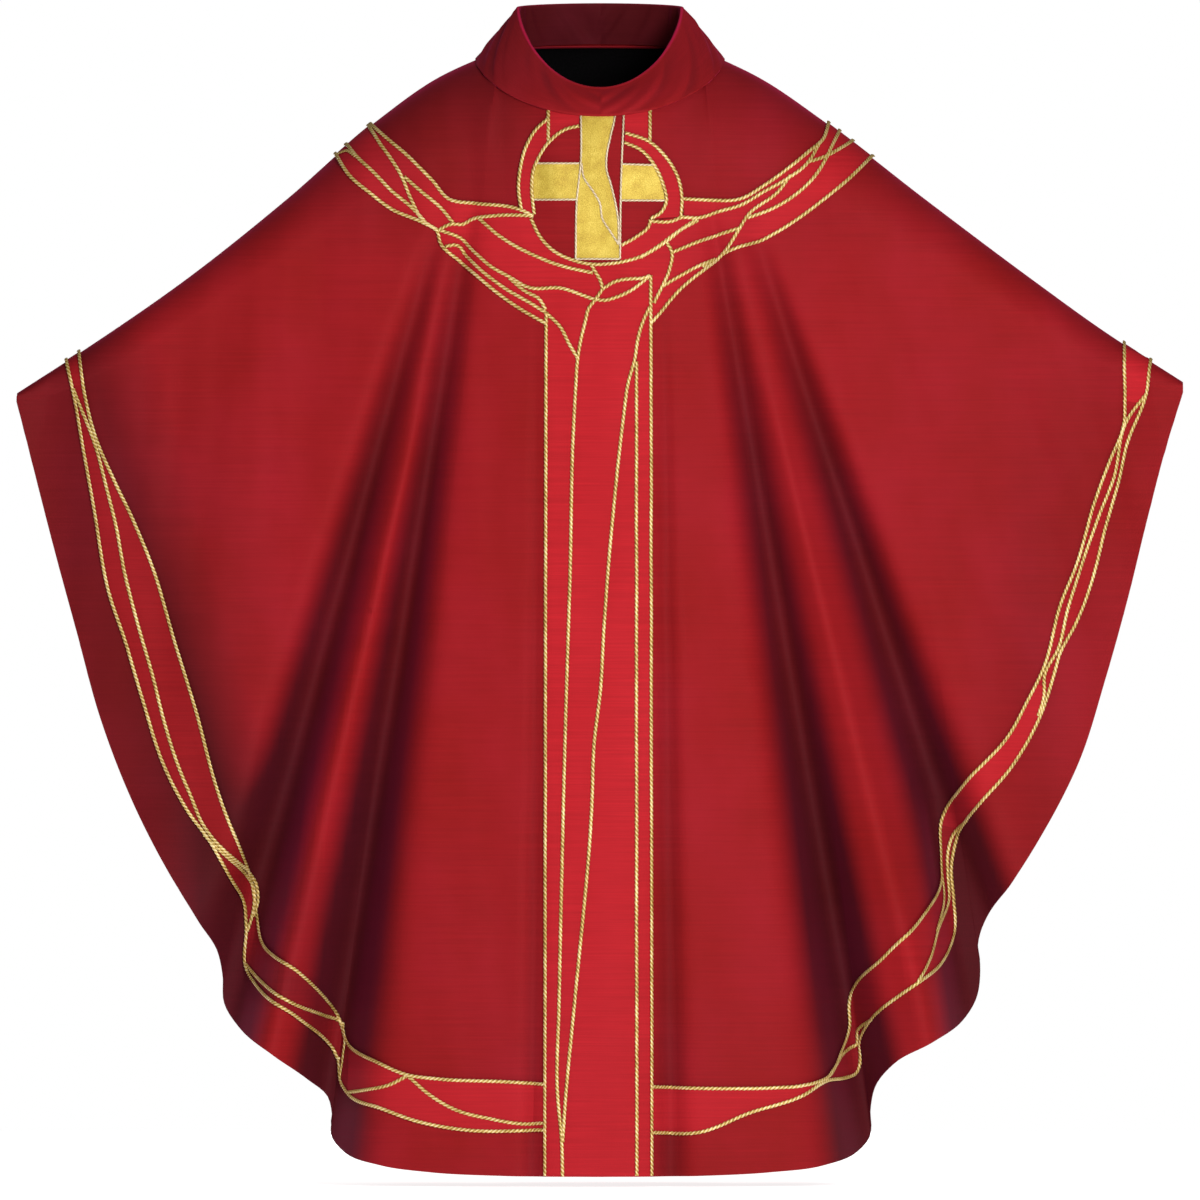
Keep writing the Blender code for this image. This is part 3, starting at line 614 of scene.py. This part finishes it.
def braid(name, cloth, line, nodes=(), straight=False, raised=False, fine=False):
    """A twisted gold cord sewn down along a line: two strands that wind round each other."""
    half_width, stuff = (FINE_BRAID_HALF, PALE_THREAD) if fine else (BRAID_HALF, THREAD)
    lift = SECOND_BRAID_LIFT if raised or fine else BRAID_LIFT
    places = cloth.locate(np.linspace(*line, STRAIGHT_STEPS) if straight else densely(line))
    below = places[:, 1] > 0
    places = places[below | np.append(below[1:], False) | np.insert(below[:-1], 0, False)]
    route, normals = cloth.sample(finer(places, BRAID_FINER))
    route = route + normals * (lift + half_width * BRAID_SEAT)
    walked = np.concatenate([[0.0], np.cumsum(sizes(np.diff(route, axis=0)))])
    keep = np.concatenate([[True], np.diff(walked) > 1e-7])
    walked, route, normals = walked[keep], route[keep], normals[keep]
    count = max(6, int(walked[-1] / BRAID_STEP))
    at = np.linspace(0, walked[-1], count)
    route, up = read_at(route, walked, at), read_at(normals, walked, at)
    tangent = np.gradient(route, axis=0)
    tangent /= np.linalg.norm(tangent, axis=1, keepdims=True)
    side = np.cross(tangent, up)
    side /= np.linalg.norm(side, axis=1, keepdims=True)
    up = np.cross(side, tangent)
    angle = np.linspace(0, 2 * math.pi, BRAID_SIDES, endpoint=False)[None, :]
    phase = (2 * math.pi * at / BRAID_PITCH)[:, None]
    bulge = half_width * (0.86 + 0.16 * np.cos(2 * angle - phase))
    points = (route[:, None] + side[:, None] * (bulge * np.cos(angle))[:, :, None]
              + up[:, None] * (BRAID_FLATNESS * bulge * np.sin(angle))[:, :, None])
    sides = [(j, (j + 1) % BRAID_SIDES) for j in range(BRAID_SIDES)]
    faces = [(start + a, start + b, start + b + BRAID_SIDES, start + a + BRAID_SIDES)
             for start in range(0, (count - 1) * BRAID_SIDES, BRAID_SIDES) for a, b in sides]
    faces.append(tuple(range(BRAID_SIDES))[::-1])
    faces.append(tuple(range((count - 1) * BRAID_SIDES, count * BRAID_SIDES)))
    uvs = np.stack(np.broadcast_arrays(at[:, None], angle / (2 * math.pi)), axis=2).reshape(-1, 2)
    made = mesh_object(name, points.reshape(-1, 3), faces, stuff, uvs)
    if not cloth.front:
        made.data.flip_normals()
    register(made, nodes)


# ---------------------------------------------------------------- materials

class Nodes:
    """A short way to write a material's node tree."""

    def __init__(self, name):
        self.material = bpy.data.materials.new(name)
        self.material.use_nodes = True
        self.tree = self.material.node_tree
        self.shader = self.tree.nodes["Principled BSDF"]

    def feed(self, slot, value):
        """Links a socket into an input, or sets the input to a value; colours get an alpha of 1."""
        if hasattr(value, "links"):
            self.tree.links.new(value, slot)
        else:
            slot.default_value = (*value, 1.0) if slot.type == "RGBA" else value

    def add(self, kind, inputs=(), **settings):
        node = self.tree.nodes.new(kind)
        for key, value in settings.items():
            setattr(node, key, value)
        for key, value in dict(inputs).items():
            self.feed(node.inputs[key], value)
        return node

    def uv(self):
        return self.add("ShaderNodeUVMap", uv_map="UVMap").outputs["UV"]

    def attribute(self, name):
        return self.add("ShaderNodeAttribute", attribute_name=name).outputs["Fac"]

    def ramp(self, factor, stops):
        node = self.add("ShaderNodeValToRGB", {"Fac": factor})
        elements = node.color_ramp.elements
        while len(elements) < len(stops):
            elements.new(0.5)
        for element, (place, colour) in zip(elements, stops):
            element.position = place
            element.color = (*colour, 1.0)
        return node.outputs["Color"]

    def noise(self, vector, scale, detail=2.0, roughness=0.5):
        return self.add("ShaderNodeTexNoise", {"Vector": vector, "Scale": scale, "Detail": detail,
                                               "Roughness": roughness}).outputs["Fac"]

    def threads(self, uv, across, along, detail, roughness, deep=1.0):
        """Noise drawn out along the threads of a weave: a high number is how many cross each metre."""
        stretched = self.add("ShaderNodeMapping", {"Vector": uv, "Scale": (across, along, deep)}).outputs["Vector"]
        return self.noise(stretched, 1.0, detail, roughness)

    def math(self, operation, a, b=0.5):
        return self.add("ShaderNodeMath", {0: a, 1: b}, operation=operation).outputs["Value"]

    def total(self, a, share, b, b_share=None):
        """One value times its share, plus another value times its own, or plus a plain number."""
        first = self.math("MULTIPLY", a, share)
        return self.math("ADD", first, b if b_share is None else self.math("MULTIPLY", b, b_share))

    def blend(self, factor, a, b, kind="MIX"):
        return self.add("ShaderNodeMix", {0: factor, 6: a, 7: b}, data_type="RGBA", blend_type=kind).outputs[2]

    def bump(self, height, strength, distance):
        return self.add("ShaderNodeBump", {"Height": height, "Strength": strength,
                                           "Distance": distance}).outputs["Normal"]

    def set(self, **inputs):
        names = {"colour": "Base Color", "roughness": "Roughness", "metallic": "Metallic", "normal": "Normal",
                 "sheen": "Sheen Weight", "sheen_tint": "Sheen Tint", "sheen_roughness": "Sheen Roughness",
                 "specular": "Specular IOR Level"}
        for key, value in inputs.items():
            self.feed(self.shader.inputs[names[key]], value)
        return self.material


def silk(name, base, deep, bright, slubs=0.35, sheen=0.25):
    """Dupion: plain weave with thicker slub threads across it, mottled a little in colour, with painted shade and
    painted sheen mixed into the colour.
    """
    nodes = Nodes(name)
    uv = nodes.uv()
    weft = nodes.threads(uv, 9.0, 420.0, 3.0, 0.6)
    warp = nodes.threads(uv, 520.0, 14.0, 2.0, 0.5)
    mottle = nodes.threads(uv, 7.0, 5.0, 4.0, 0.55)
    tone = nodes.ramp(mottle, [(0.30, deep), (0.50, base), (0.72, bright)])
    threads = nodes.ramp(weft, [(0.35, (0.72, 0.72, 0.72)), (0.62, (1.0, 1.0, 1.0)), (0.80, (1.25, 1.2, 1.2))])
    colour = nodes.blend(slubs, tone, nodes.blend(1.0, tone, threads, "MULTIPLY"))
    # Painted shade: the 'deep' mark darkens the colour to a purple red in folds, by free edges and in patches.
    fold = nodes.attribute("deep")
    shaded = nodes.blend(1.0, colour, (0.26, 0.66, 0.76), "MULTIPLY")
    colour = nodes.blend(fold, colour, shaded)
    # Painted sheen: the colour turns magenta where the silk is seen at a grazing angle.
    edge = nodes.add("ShaderNodeLayerWeight", {"Blend": 0.5}).outputs["Facing"]
    grazing_sheen = nodes.math("MULTIPLY", nodes.math("POWER", edge, 8.0), 0.38)
    colour = nodes.blend(grazing_sheen, colour, (0.40, 0.010, 0.070))
    # Painted sheen: a marked pink along the shoulder seams and on the collar's rim.
    painted_sheen = nodes.attribute("painted_sheen")
    colour = nodes.blend(painted_sheen, colour, (0.46, 0.012, 0.060))
    height = nodes.total(weft, 0.8, warp, 0.35)
    rough = nodes.total(weft, 0.16, 0.56)
    return nodes.set(colour=colour, roughness=rough, normal=nodes.bump(height, 0.30, 0.0005), specular=0.045,
                     sheen=sheen, sheen_tint=(0.95, 0.05, 0.22), sheen_roughness=0.35)


def gold_cloth():
    nodes = Nodes("gold_lame")
    uv = nodes.uv()
    flecks = nodes.add("ShaderNodeTexVoronoi", {"Vector": uv, "Scale": 900.0})
    grain = nodes.noise(uv, 700.0, 3.0, 0.7)
    cloud = nodes.noise(uv, 60.0, 3.0, 0.6)
    tone = nodes.total(grain, 0.6, cloud, 0.4)
    colour = nodes.ramp(tone, [(0.34, (0.39, 0.24, 0.022)), (0.50, (0.56, 0.39, 0.044)), (0.66, (0.72, 0.56, 0.105))])
    return nodes.set(colour=colour, metallic=0.30, roughness=0.50, specular=0.4,
                     normal=nodes.bump(flecks.outputs["Distance"], 0.4, 0.0006))


def gold_thread(name, dark, middle, pale):
    """Wound metal thread: fine slanting turns, with a painted highlight on top of each strand and painted shade in the
    grooves, over the thread's own uneven tone.
    """
    nodes = Nodes(name)
    uv = nodes.uv()
    parts = nodes.add("ShaderNodeSeparateXYZ", {"Vector": uv})
    along = nodes.math("MULTIPLY", parts.outputs["X"], 2 * math.pi / BRAID_PITCH)
    round_it = nodes.math("MULTIPLY", parts.outputs["Y"], 4 * math.pi)
    # Painted light and shade: pale on top of each strand, dark in the grooves between them.
    strand_light_and_shade = nodes.math("COSINE", nodes.math("SUBTRACT", round_it, along))
    strand_light_and_shade = nodes.total(strand_light_and_shade, 0.5, 0.5)
    uneven = nodes.threads(uv, 260.0, 3.0, 3.0, 0.6)
    patches = nodes.threads(uv, 30.0, 1.0, 3.0, 0.6)
    tone = nodes.total(strand_light_and_shade, 0.30, uneven, 0.52)
    tone = nodes.math("ADD", tone, nodes.math("MULTIPLY", nodes.math("SUBTRACT", patches, 0.5), 0.7))
    colour = nodes.ramp(tone, [(0.10, dark), (0.34, middle), (0.64, pale)])
    turns = nodes.threads(uv, 2600.0, 3.0, 1.0, 0.5)
    return nodes.set(colour=colour, metallic=0.25, roughness=0.45, normal=nodes.bump(turns, 0.4, 0.0003))


# A near-black sheet that paints the shade inside the back seen through the neck opening.
def lining():
    nodes = Nodes("black_lining")
    uv = nodes.uv()
    weave = nodes.threads(uv, 400.0, 400.0, 2.0, 0.5)
    colour = nodes.ramp(weave, [(0.3, (0.0015, 0.0015, 0.0015)), (0.7, (0.0035, 0.003, 0.0035))])
    return nodes.set(colour=colour, roughness=0.9, specular=0.02, normal=nodes.bump(weave, 0.2, 0.0003))


def tape_cloth():
    nodes = Nodes("seam_tape")
    uv = nodes.uv()
    weave = nodes.threads(uv, 600.0, 600.0, 2.0, 0.5, 600.0)
    colour = nodes.ramp(weave, [(0.3, (0.13, 0.008, 0.012)), (0.7, (0.26, 0.015, 0.022))])
    return nodes.set(colour=colour, roughness=0.75, normal=nodes.bump(weave, 0.3, 0.0004))


CRIMSON = silk("crimson_silk", (0.292, 0.0098, 0.0130), (0.266, 0.0088, 0.0095), (0.322, 0.0112, 0.0180))
BRIGHT = silk("bright_red_silk", (0.465, 0.0150, 0.0215), (0.440, 0.0135, 0.0190), (0.490, 0.0165, 0.0245), 0.5, 0.10)
BAND = silk("border_red_silk", (0.355, 0.0112, 0.0150), (0.328, 0.0098, 0.0120), (0.382, 0.0128, 0.0180), 0.5, 0.15)
DARK = silk("dark_red_silk", (0.275, 0.0092, 0.0120), (0.256, 0.0086, 0.0105), (0.294, 0.0100, 0.0135), 0.5, 0.10)
LAME = gold_cloth()
THREAD = gold_thread("gold_braid", (0.10, 0.050, 0.010), (0.47, 0.29, 0.040), (0.84, 0.68, 0.34))
PALE_THREAD = gold_thread("pale_gold_braid", (0.25, 0.14, 0.07), (0.55, 0.42, 0.24), (0.80, 0.68, 0.52))
BLACK = lining()


# ---------------------------------------------------------------- pieces

def panel(name, cloth, nodes):
    """The silk itself, one sheet from the shoulder seam to the hem."""
    columns, rows = ACROSS_STEPS + 1, DOWN_STEPS + 1
    flat = cloth.points[:, :, (0, 2)].reshape(-1, 2)
    made = mesh_object(name, cloth.points.reshape(-1, 3), grid_faces(columns, rows), CRIMSON, flat)
    # The silk's painted shade, and a painted pink sheen in a narrow band just below the shoulder seam, part way along
    # each shoulder.
    mark(made, "deep", cloth.deep(flat))
    below_seam = np.repeat(cloth.tops[:, 1], rows) - flat[:, 1]
    middle = unit(1 - np.abs(np.abs(flat[:, 0]) - 0.20) / 0.13)
    mark(made, "painted_sheen", bell(below_seam, 0.0, SEAM_SHEEN_REACH) * middle * 0.5)
    face_out(made, cloth)
    thicken(made, CLOTH, -1.0)
    register(made, nodes)


def drawn(line):
    return densely(line, LINE_STEP)


def front_appliques(cloth):
    def cut(name, outline, node=None, lift=APPLIQUE_LIFT, stuff=BRIGHT):
        filled(name, cloth, outline, lift, stuff, [node] if node else [])

    for side in SIDES:
        border(f"front_border_band_{side}", cloth, side, BAND, f"front_border_{side}")
    for side, first in (("left", 2), ("right", 0)):
        ring = np.vstack([drawn(RING_OUTER[side]), drawn(RING_INNER[side][first:])[::-1]])
        cut(f"ring_arc_{side}", ring, f"ring_{side}", SECOND_LIFT)

    # Brighter pieces flush with the border's band.
    inner, outer = drawn(BORDER_INNER["right"]), drawn(BORDER_OUTER["right"])
    for name, low, high in (("wide", -0.893, -0.722), ("top", -0.400, -0.335)):
        inner_part = inner[(inner[:, 1] > low) & (inner[:, 1] < high)]
        outer_part = outer[(outer[:, 1] > low - 0.004) & (outer[:, 1] < high - 0.012)]
        cut(f"border_piece_{name}", np.vstack([inner_part, outer_part[::-1]]), lift=FLUSH_LIFT)
    for side, reach in (("left", 0.292), ("right", 0.258)):
        inner, outer = [line[(np.abs(line[:, 0]) < reach) & (line[:, 1] < -1.1)]
                        for line in (drawn(BORDER_INNER[side]), drawn(BORDER_OUTER[side]))]
        cut(f"border_piece_foot_{side}", np.vstack([inner, outer[::-1]]), lift=FLUSH_LIFT)

    # The arms meet the bowl, the stem and the leaf, and the pillar hangs from them.
    bowl, stem_top, stem, leaf = drawn(BOWL), drawn(STEM_TOP), drawn(STEM[:6]), drawn(LEAF_LOWER)
    split = int(np.argmin(np.abs(bowl[:, 0] + 0.010)))
    corner = drawn(PILLAR_CORNER)[::-1]
    left = [drawn(ARM_TOP["left"]), bowl[1:split], stem_top, stem[1:], corner[1:-1], mm(-62.5, -297),
            drawn(ARM_BOTTOM["left"])[::-1][:-1]]
    cut("arm_band_left", np.vstack(left), "orphrey_arm_left")
    right = [drawn(ARM_TOP["right"]), mm(98, -186), bowl[::-1][6:-split], stem_top + (0.0006, 0.0),
             mm(-4.2, -279.5), leaf[1:] + (0.0, 0.0004), [(PILLAR_RIGHT, -0.254)],
             drawn(ARM_BOTTOM["right"])[::-1][:-1]]
    cut("arm_band_right", np.vstack(right), "orphrey_arm_right")
    facet = mm(57.5, -290, 50, -305, 44.5, -325, 42, -350)
    pillar = [[(PILLAR_LEFT, -0.2985)], corner[::-1][1:-1] - (0.0, 0.0012), mm(-25.7, -350),
              stem[::-1][1:-4] + (0.0007, 0.0), leaf[1:] - (0.0, 0.0004), facet,
              [(PILLAR_FACET, HEM_LINE), (PILLAR_LEFT, HEM_LINE)]]
    cut("pillar_band", np.vstack(pillar), "orphrey_pillar")
    side_facet = [np.array(facet) + (0.0005, 0.0), [(PILLAR_FACET + 0.0005, HEM_LINE), (PILLAR_RIGHT, HEM_LINE),
                                                    (PILLAR_RIGHT, -0.290)]]
    cut("pillar_facet", np.vstack(side_facet), "orphrey_pillar_facet")

    # The dark field inside the ring has a tab that runs up beside the cross to the collar.
    inner = drawn(INNER_BOWL)[::-1]
    field = [mm(-23.5, -34), drawn(RING_INNER["left"]), bowl[bowl[:, 0] < 0.023], inner,
             drawn(RING_INNER["right"])[::-1], mm(27.8, -90, 27.8, -34)]
    cut("medallion", np.vstack(field), "medallion_field", stuff=DARK)
    outer = bowl[::-1][4:]
    crescent = [mm(59.5, -187, 70, -188, 93, -184.5, 109, -186), outer[outer[:, 0] > 0.0235],
                mm(23.5, -236.5, 23.5, -218), inner[1:]]
    cut("bowl_crescent", np.vstack(crescent), lift=SECOND_LIFT)
    necks = {"left": mm(-59.5, -34, -22.5, -34, -24.5, -78.5, -40, -82.5, -57.5, -96.5, -59.5, -99),
             "right": mm(28.5, -34, 57, -34, 57, -97.5, 44, -92, 28.5, -87)}
    for side, outline in necks.items():
        cut(f"neck_band_{side}", outline, f"neck_strip_{side}")
    upright = [mm(-22, -34, 18, -34), drawn(CROSS_EDGE), mm(23, -233, -28, -233, -26.5, -163, -22, -120)]
    cut("cross_cloth_upright", np.vstack(upright), "cross_upright", SECOND_LIFT, LAME)
    arms = {"left": mm(-74, -122, -23.5, -122, -26.5, -164, -77.5, -164, -78.5, -142),
            "right": mm(24.5, -123, 62, -124, 72, -145, 75, -165, 24.5, -165)}
    for side, outline in arms.items():
        cut(f"cross_cloth_{side}", outline, f"cross_arm_{side}", SECOND_LIFT, LAME)


def front_braids(cloth):
    lines = {"bowl": BOWL, "inner_bowl": INNER_BOWL, "leaf_lower": LEAF_LOWER, "leaf_upper": LEAF_UPPER,
             "stem_top": STEM_TOP, "stem": STEM, "vein": VEIN, "pillar_corner": PILLAR_CORNER}
    for side in SIDES:
        lines |= {f"{name}_{side}": line[side] for name, line in EDGES.items()}
        for part, group in (("arm", ARM_LINES), ("border", BORDER_LINES)):
            lines |= {f"{part}_{side}_{i + 1}": line for i, line in enumerate(group[side])}
    for name, line in lines.items():
        in_cad = name in ("bowl", "stem", "vein") or name.rpartition("_")[0] in EDGES
        braid(f"braid_{name}_front", cloth, line, [f"braid_{name}"] if in_cad else [])
    for name, ring in (("ring_outer", RING_OUTER), ("ring_inner", RING_INNER)):
        for side in SIDES:
            braid(f"braid_{name}_{side}_front", cloth, ring[side], [f"braid_{name}_{side}"], raised=True)
    braid("braid_cross_vein_front", cloth, CROSS_VEIN, ["braid_cross_vein"], fine=True)
    fine = {"left_edge": mm(-22, -50, -22, -120, -26.5, -163, -28, -233), "foot": mm(-28, -233, 23, -233),
            "right_edge": CROSS_EDGE, "right_line": mm(27.8, -54, 26, -100, 24.5, -140, 23.5, -233),
            "arm_left_top": mm(-74, -122, -24, -122), "arm_left_foot": mm(-77.5, -164, -26.5, -164),
            "arm_right_top": mm(25, -123, 62, -124), "arm_right_foot": mm(24.5, -165, 75, -165)}
    for name, line in fine.items():
        braid(f"braid_cross_{name}", cloth, line, fine=True)
    for name, node, x, top in (("left", "braid_pillar_left", PILLAR_LEFT, -0.296),
                               ("facet", "braid_facet", PILLAR_FACET, -0.352),
                               ("right", "braid_pillar_right", PILLAR_RIGHT, -0.252)):
        braid(f"braid_pillar_{name}_front", cloth, [(x, top), (x, BRAID_END)], [node], straight=True)
    for side, x in (("left", -0.0595), ("right", 0.0575)):
        braid(f"braid_neck_{side}", cloth, [(x, -0.045), (x, -0.098)], straight=True)


def back_orphrey(cloth):
    pillar = [(PILLAR_LEFT, 0.004), (PILLAR_RIGHT, 0.004), (PILLAR_RIGHT, HEM_LINE), (PILLAR_LEFT, HEM_LINE)]
    filled("back_pillar_band", cloth, pillar, APPLIQUE_LIFT, BRIGHT, ["back_pillar"])
    for side, edge in (("left", PILLAR_LEFT), ("right", PILLAR_RIGHT)):
        arm = np.vstack([drawn(ARM_TOP[side][:-2]), [(edge * 1.01, -0.188), (edge * 1.01, -0.305)],
                         drawn(ARM_BOTTOM[side])[::-1][1:]])
        filled(f"back_arm_band_{side}", cloth, arm, APPLIQUE_LIFT, BRIGHT, [f"back_arm_{side}"])
        border(f"back_border_band_{side}", cloth, side, BRIGHT, f"back_border_{side}")
        for name, line in EDGES.items():
            line = line[side][:-2] + [(edge, -0.188)] if name == "arm_top" else line[side]
            braid(f"braid_{name}_{side}_back", cloth, line, [f"back_braid_{name}_{side}"])
        braid(f"braid_pillar_{side}_back", cloth, [(edge, 0.000), (edge, BRAID_END)], [f"back_braid_pillar_{side}"],
              straight=True)
        inner = [ARM_LINES[side][index] for index in BACK_ARM_LINES[side]]
        for i, line in enumerate(inner + BORDER_LINES[side]):
            braid(f"braid_inner_{side}_{i + 1}_back", cloth, line)
    # Painted shade: a near-black sheet inside the back below the neck, where the opening shows dark.
    yoke = mm(-155, 12, -118, 17, 118, 17, 155, 12, 160, -120, 100, -200, 0, -230, -100, -200, -160, -120)
    filled("neck_shade_sheet", cloth, densely(yoke + yoke[:1], 0.008)[:-1], -SHADE_SHEET_DROP, BLACK, ["neck_lining"])


# ---------------------------------------------------------------- collar

COLLAR_STEPS = 320
RIM_ROLL = 0.0018
PUCKER, SEAM_RIDGE = 0.0045, 0.0012


def collar_loop(half_width, front, back, side_level, front_level, back_level, power):
    angle = np.linspace(0, 2 * math.pi, COLLAR_STEPS, endpoint=False)
    out = np.sin(angle)
    reach = np.where(out > 0, back, front)
    level = np.where(out > 0, back_level, front_level)
    z = side_level + (level - side_level) * np.abs(out) ** power
    return np.stack([half_width * np.cos(angle), reach * out, z], axis=1)


def evenly(values, reach):
    """A running mean round a closed loop."""
    return sum(np.roll(values, shift) for shift in range(-reach, reach + 1)) / (2 * reach + 1)


def collar_hem():
    """The lower edge of the collar, just clear of the cloth and the braids that it lies on."""
    loop = collar_loop(0.1450, 0.118, 0.104, 0.0015, -0.0655, -0.004, 1.25)
    front = loop[:, 1] < 0
    flat = loop[:, (0, 2)]
    for cloth, half in ((FRONT, front), (BACK, ~front)):
        carried, _normals = cloth.carry(flat[half], 0.0)
        loop[half, 1] = carried[:, 1] + cloth.forward * 0.0065
    loop[:, 1] = evenly(loop[:, 1], 9)
    return loop


def collar():
    """One turn of silk: up from the neck seam, over a soft rim, and down outside to a turned edge."""
    foot = collar_loop(0.112, 0.090, 0.079, 0.012, -0.050, 0.020, 1.3)
    rim = collar_loop(0.0935, 0.081, 0.060, 0.0600, -0.0350, 0.0650, 1.2)
    hem = collar_hem()
    outward = rim * (1, 1, 0)
    outward /= np.linalg.norm(outward, axis=1, keepdims=True)
    up = np.array([0.0, 0.0, 1.0])
    rows = [foot + (rim - foot) * share for share in np.linspace(0, 1, 22)]
    for turn in np.linspace(0, math.pi, 9)[1:]:
        rows.append(rim + outward * RIM_ROLL * (1 - math.cos(turn)) + up * RIM_ROLL * math.sin(turn))
    start = rows[-1]
    facing = np.abs(outward[:, 1:2])
    for share in np.linspace(0, 1, 34)[1:]:
        swell = 0.004 * facing * math.sin(math.pi * share)
        rows.append(start + (hem - start) * share + outward * swell + up * swell * 0.5)
    rows += [rows[-1] - up * 0.0012 - outward * 0.0008, rows[-1] - up * 0.0010 - outward * 0.0030]
    grid = np.stack(rows, axis=1)
    angle = np.linspace(0, 2 * math.pi, COLLAR_STEPS, endpoint=False)[:, None]
    share = np.linspace(0, 1, grid.shape[1])[None, :]
    lean = angle + (share - 0.5) * 0.9 * np.sign(np.cos(angle))
    pucker = ripple(np.cos(lean) * 6, np.sin(lean) * 6 + share * 2, 5.0) * PUCKER
    pucker = pucker * np.clip(np.abs(share - 0.40) * 6, 0.05, 1.0) * unit((1.02 - share) * 8)
    seam = np.exp(-((angle - math.pi / 2) * 0.06 / 0.0022) ** 2) * (share < 0.36) * SEAM_RIDGE
    grid = grid + outward[:, None, :] * (pucker + seam)[:, :, None]
    uvs = np.stack(np.broadcast_arrays(angle * 0.12, share * 0.2), axis=2).reshape(-1, 2)
    faces = grid_faces(COLLAR_STEPS, grid.shape[1], closed=True)
    made = mesh_object("collar_cloth", grid.reshape(-1, 3), faces, CRIMSON, uvs)
    # Painted shade: dark inside the stand, on the sides of the fall (more on the left) and in the hollows of its
    # puckers.
    side = np.abs(np.cos(angle)) ** 1.5 * np.where(np.cos(angle) < 0, 0.54, 0.22)
    shade = np.where(share < 0.37, 0.92, side + 0.5 * unit(-pucker / PUCKER))
    mark(made, "deep", unit(shade).ravel())
    # Painted pink sheen along the rim, strongest at the sides.
    rim_sheen = bell(share, 0.395, 0.030) * unit(np.abs(np.cos(angle)) * 1.6 - 0.2)
    mark(made, "painted_sheen", (rim_sheen * 0.9).ravel())
    thicken(made, COLLAR, 0.0)
    register(made, ["collar_stand", "collar_fall", "collar_interlining"])


def seam_tapes():
    """A woven tape inside each shoulder seam, folded over it from the back to the front."""
    stuff = tape_cloth()
    for side, sign in (("left", -1), ("right", 1)):
        out = FRONT.across * sign
        chosen = np.flatnonzero((out > 1 - NECK_SHARE + 0.01) & (out < 0.93))
        back = BACK.points[chosen][:, 3:0:-1] - BACK.normals[chosen][:, 3:0:-1] * TAPE_DROP
        top = FRONT.points[chosen][:, :1] * (1, 0, 1) - (0, 0, TAPE_DROP)
        front = FRONT.points[chosen][:, 1:4] - FRONT.normals[chosen][:, 1:4] * TAPE_DROP
        grid = np.concatenate([back, top, front], axis=1)
        columns, rows = grid.shape[:2]
        uvs = np.stack(np.meshgrid(np.arange(columns), np.arange(rows), indexing="ij"), axis=2).reshape(-1, 2) * 0.005
        made = mesh_object(f"seam_tape_{side}", grid.reshape(-1, 3), grid_faces(columns, rows, sign > 0), stuff, uvs)
        thicken(made, TAPE, 0.0)
        register(made, [f"shoulder_seam_tape_{side}"])


# ---------------------------------------------------------------- stage, light and camera

FLOOR_SIDES, FLOOR_RADIUS, FLOOR_GAP = 96, 4, 0.012
KEY_POWER, TOP_POWER, BEHIND_POWER = 205, 12, 100
BACKDROP_LIGHT, FLOOR_GLOW = 0.18, 0.82
CAMERA_LEVEL = -0.629


def area_light(name, place, target, size, power):
    light = bpy.data.lights.new(name, "AREA")
    light.shape, light.size, light.energy = "DISK", size, power
    made = put(name, light)
    made.location = place
    made.rotation_euler = (Vector(target) - Vector(place)).to_track_quat("-Z", "Y").to_euler()


def stage():
    """A pale round floor just below the hem, a white backdrop that lights little, and three lamps."""
    turns = np.linspace(0, 2 * math.pi, FLOOR_SIDES + 1)[:-1]
    level = CAD_BOX[0][2] - FLOOR_GAP
    rim = [(FLOOR_RADIUS * math.cos(turn), FLOOR_RADIUS * math.sin(turn), level) for turn in turns]
    mesh = bpy.data.meshes.new("floor")
    mesh.from_pydata(rim, [], [tuple(range(FLOOR_SIDES))])
    pale = Nodes("pale_floor")
    pale.set(colour=(0.92, 0.92, 0.92), roughness=0.9, specular=0.0)
    pale.feed(pale.shader.inputs["Emission Color"], (1.0, 1.0, 1.0))
    pale.feed(pale.shader.inputs["Emission Strength"], FLOOR_GLOW)
    mesh.materials.append(pale.material)
    put("floor", mesh)
    world = bpy.data.worlds.new("studio")
    world.use_nodes = True
    tree = world.node_tree
    backdrop = tree.nodes["Background"]
    backdrop.inputs["Color"].default_value = (1.0, 1.0, 1.0, 1.0)
    rays = tree.nodes.new("ShaderNodeLightPath")
    seen = tree.nodes.new("ShaderNodeMapRange")
    seen.inputs["To Min"].default_value, seen.inputs["To Max"].default_value = BACKDROP_LIGHT, 1.0
    tree.links.new(rays.outputs["Is Camera Ray"], seen.inputs["Value"])
    tree.links.new(seen.outputs["Result"], backdrop.inputs["Strength"])
    bpy.context.scene.world = world
    area_light("key", (1.3, -5.2, 0.2), (0.0, 0.0, -0.65), 1.6, KEY_POWER)
    area_light("top", (0.4, -1.0, 3.4), (0.0, 0.0, -0.3), 1.4, TOP_POWER)
    area_light("behind", (-1.0, 5.0, -0.4), (0.0, 0.0, -0.65), 1.6, BEHIND_POWER)


def camera():
    """A long lens level with the middle of the garment; the frame is a little larger than it."""
    distance, frame_width, sensor = 40.0, 1.398, 36.0
    data = bpy.data.cameras.new("camera")
    data.sensor_width, data.lens, data.clip_end = sensor, sensor * distance / frame_width, 200.0
    made = put("camera", data)
    made.location = (0.0, -distance, CAMERA_LEVEL)
    made.rotation_euler = (math.pi / 2, 0.0, 0.0)
    bpy.context.scene.camera = made
    bpy.context.scene.view_settings.view_transform = "Standard"


FRONT, BACK = Cloth(True), Cloth(False)
panel("front_cloth", FRONT, ["front_panel_left", "front_panel_right"])
panel("back_cloth", BACK, ["back_panel_left", "back_panel_right"])
front_appliques(FRONT)
front_braids(FRONT)
back_orphrey(BACK)
collar()
seam_tapes()
stage()
camera()
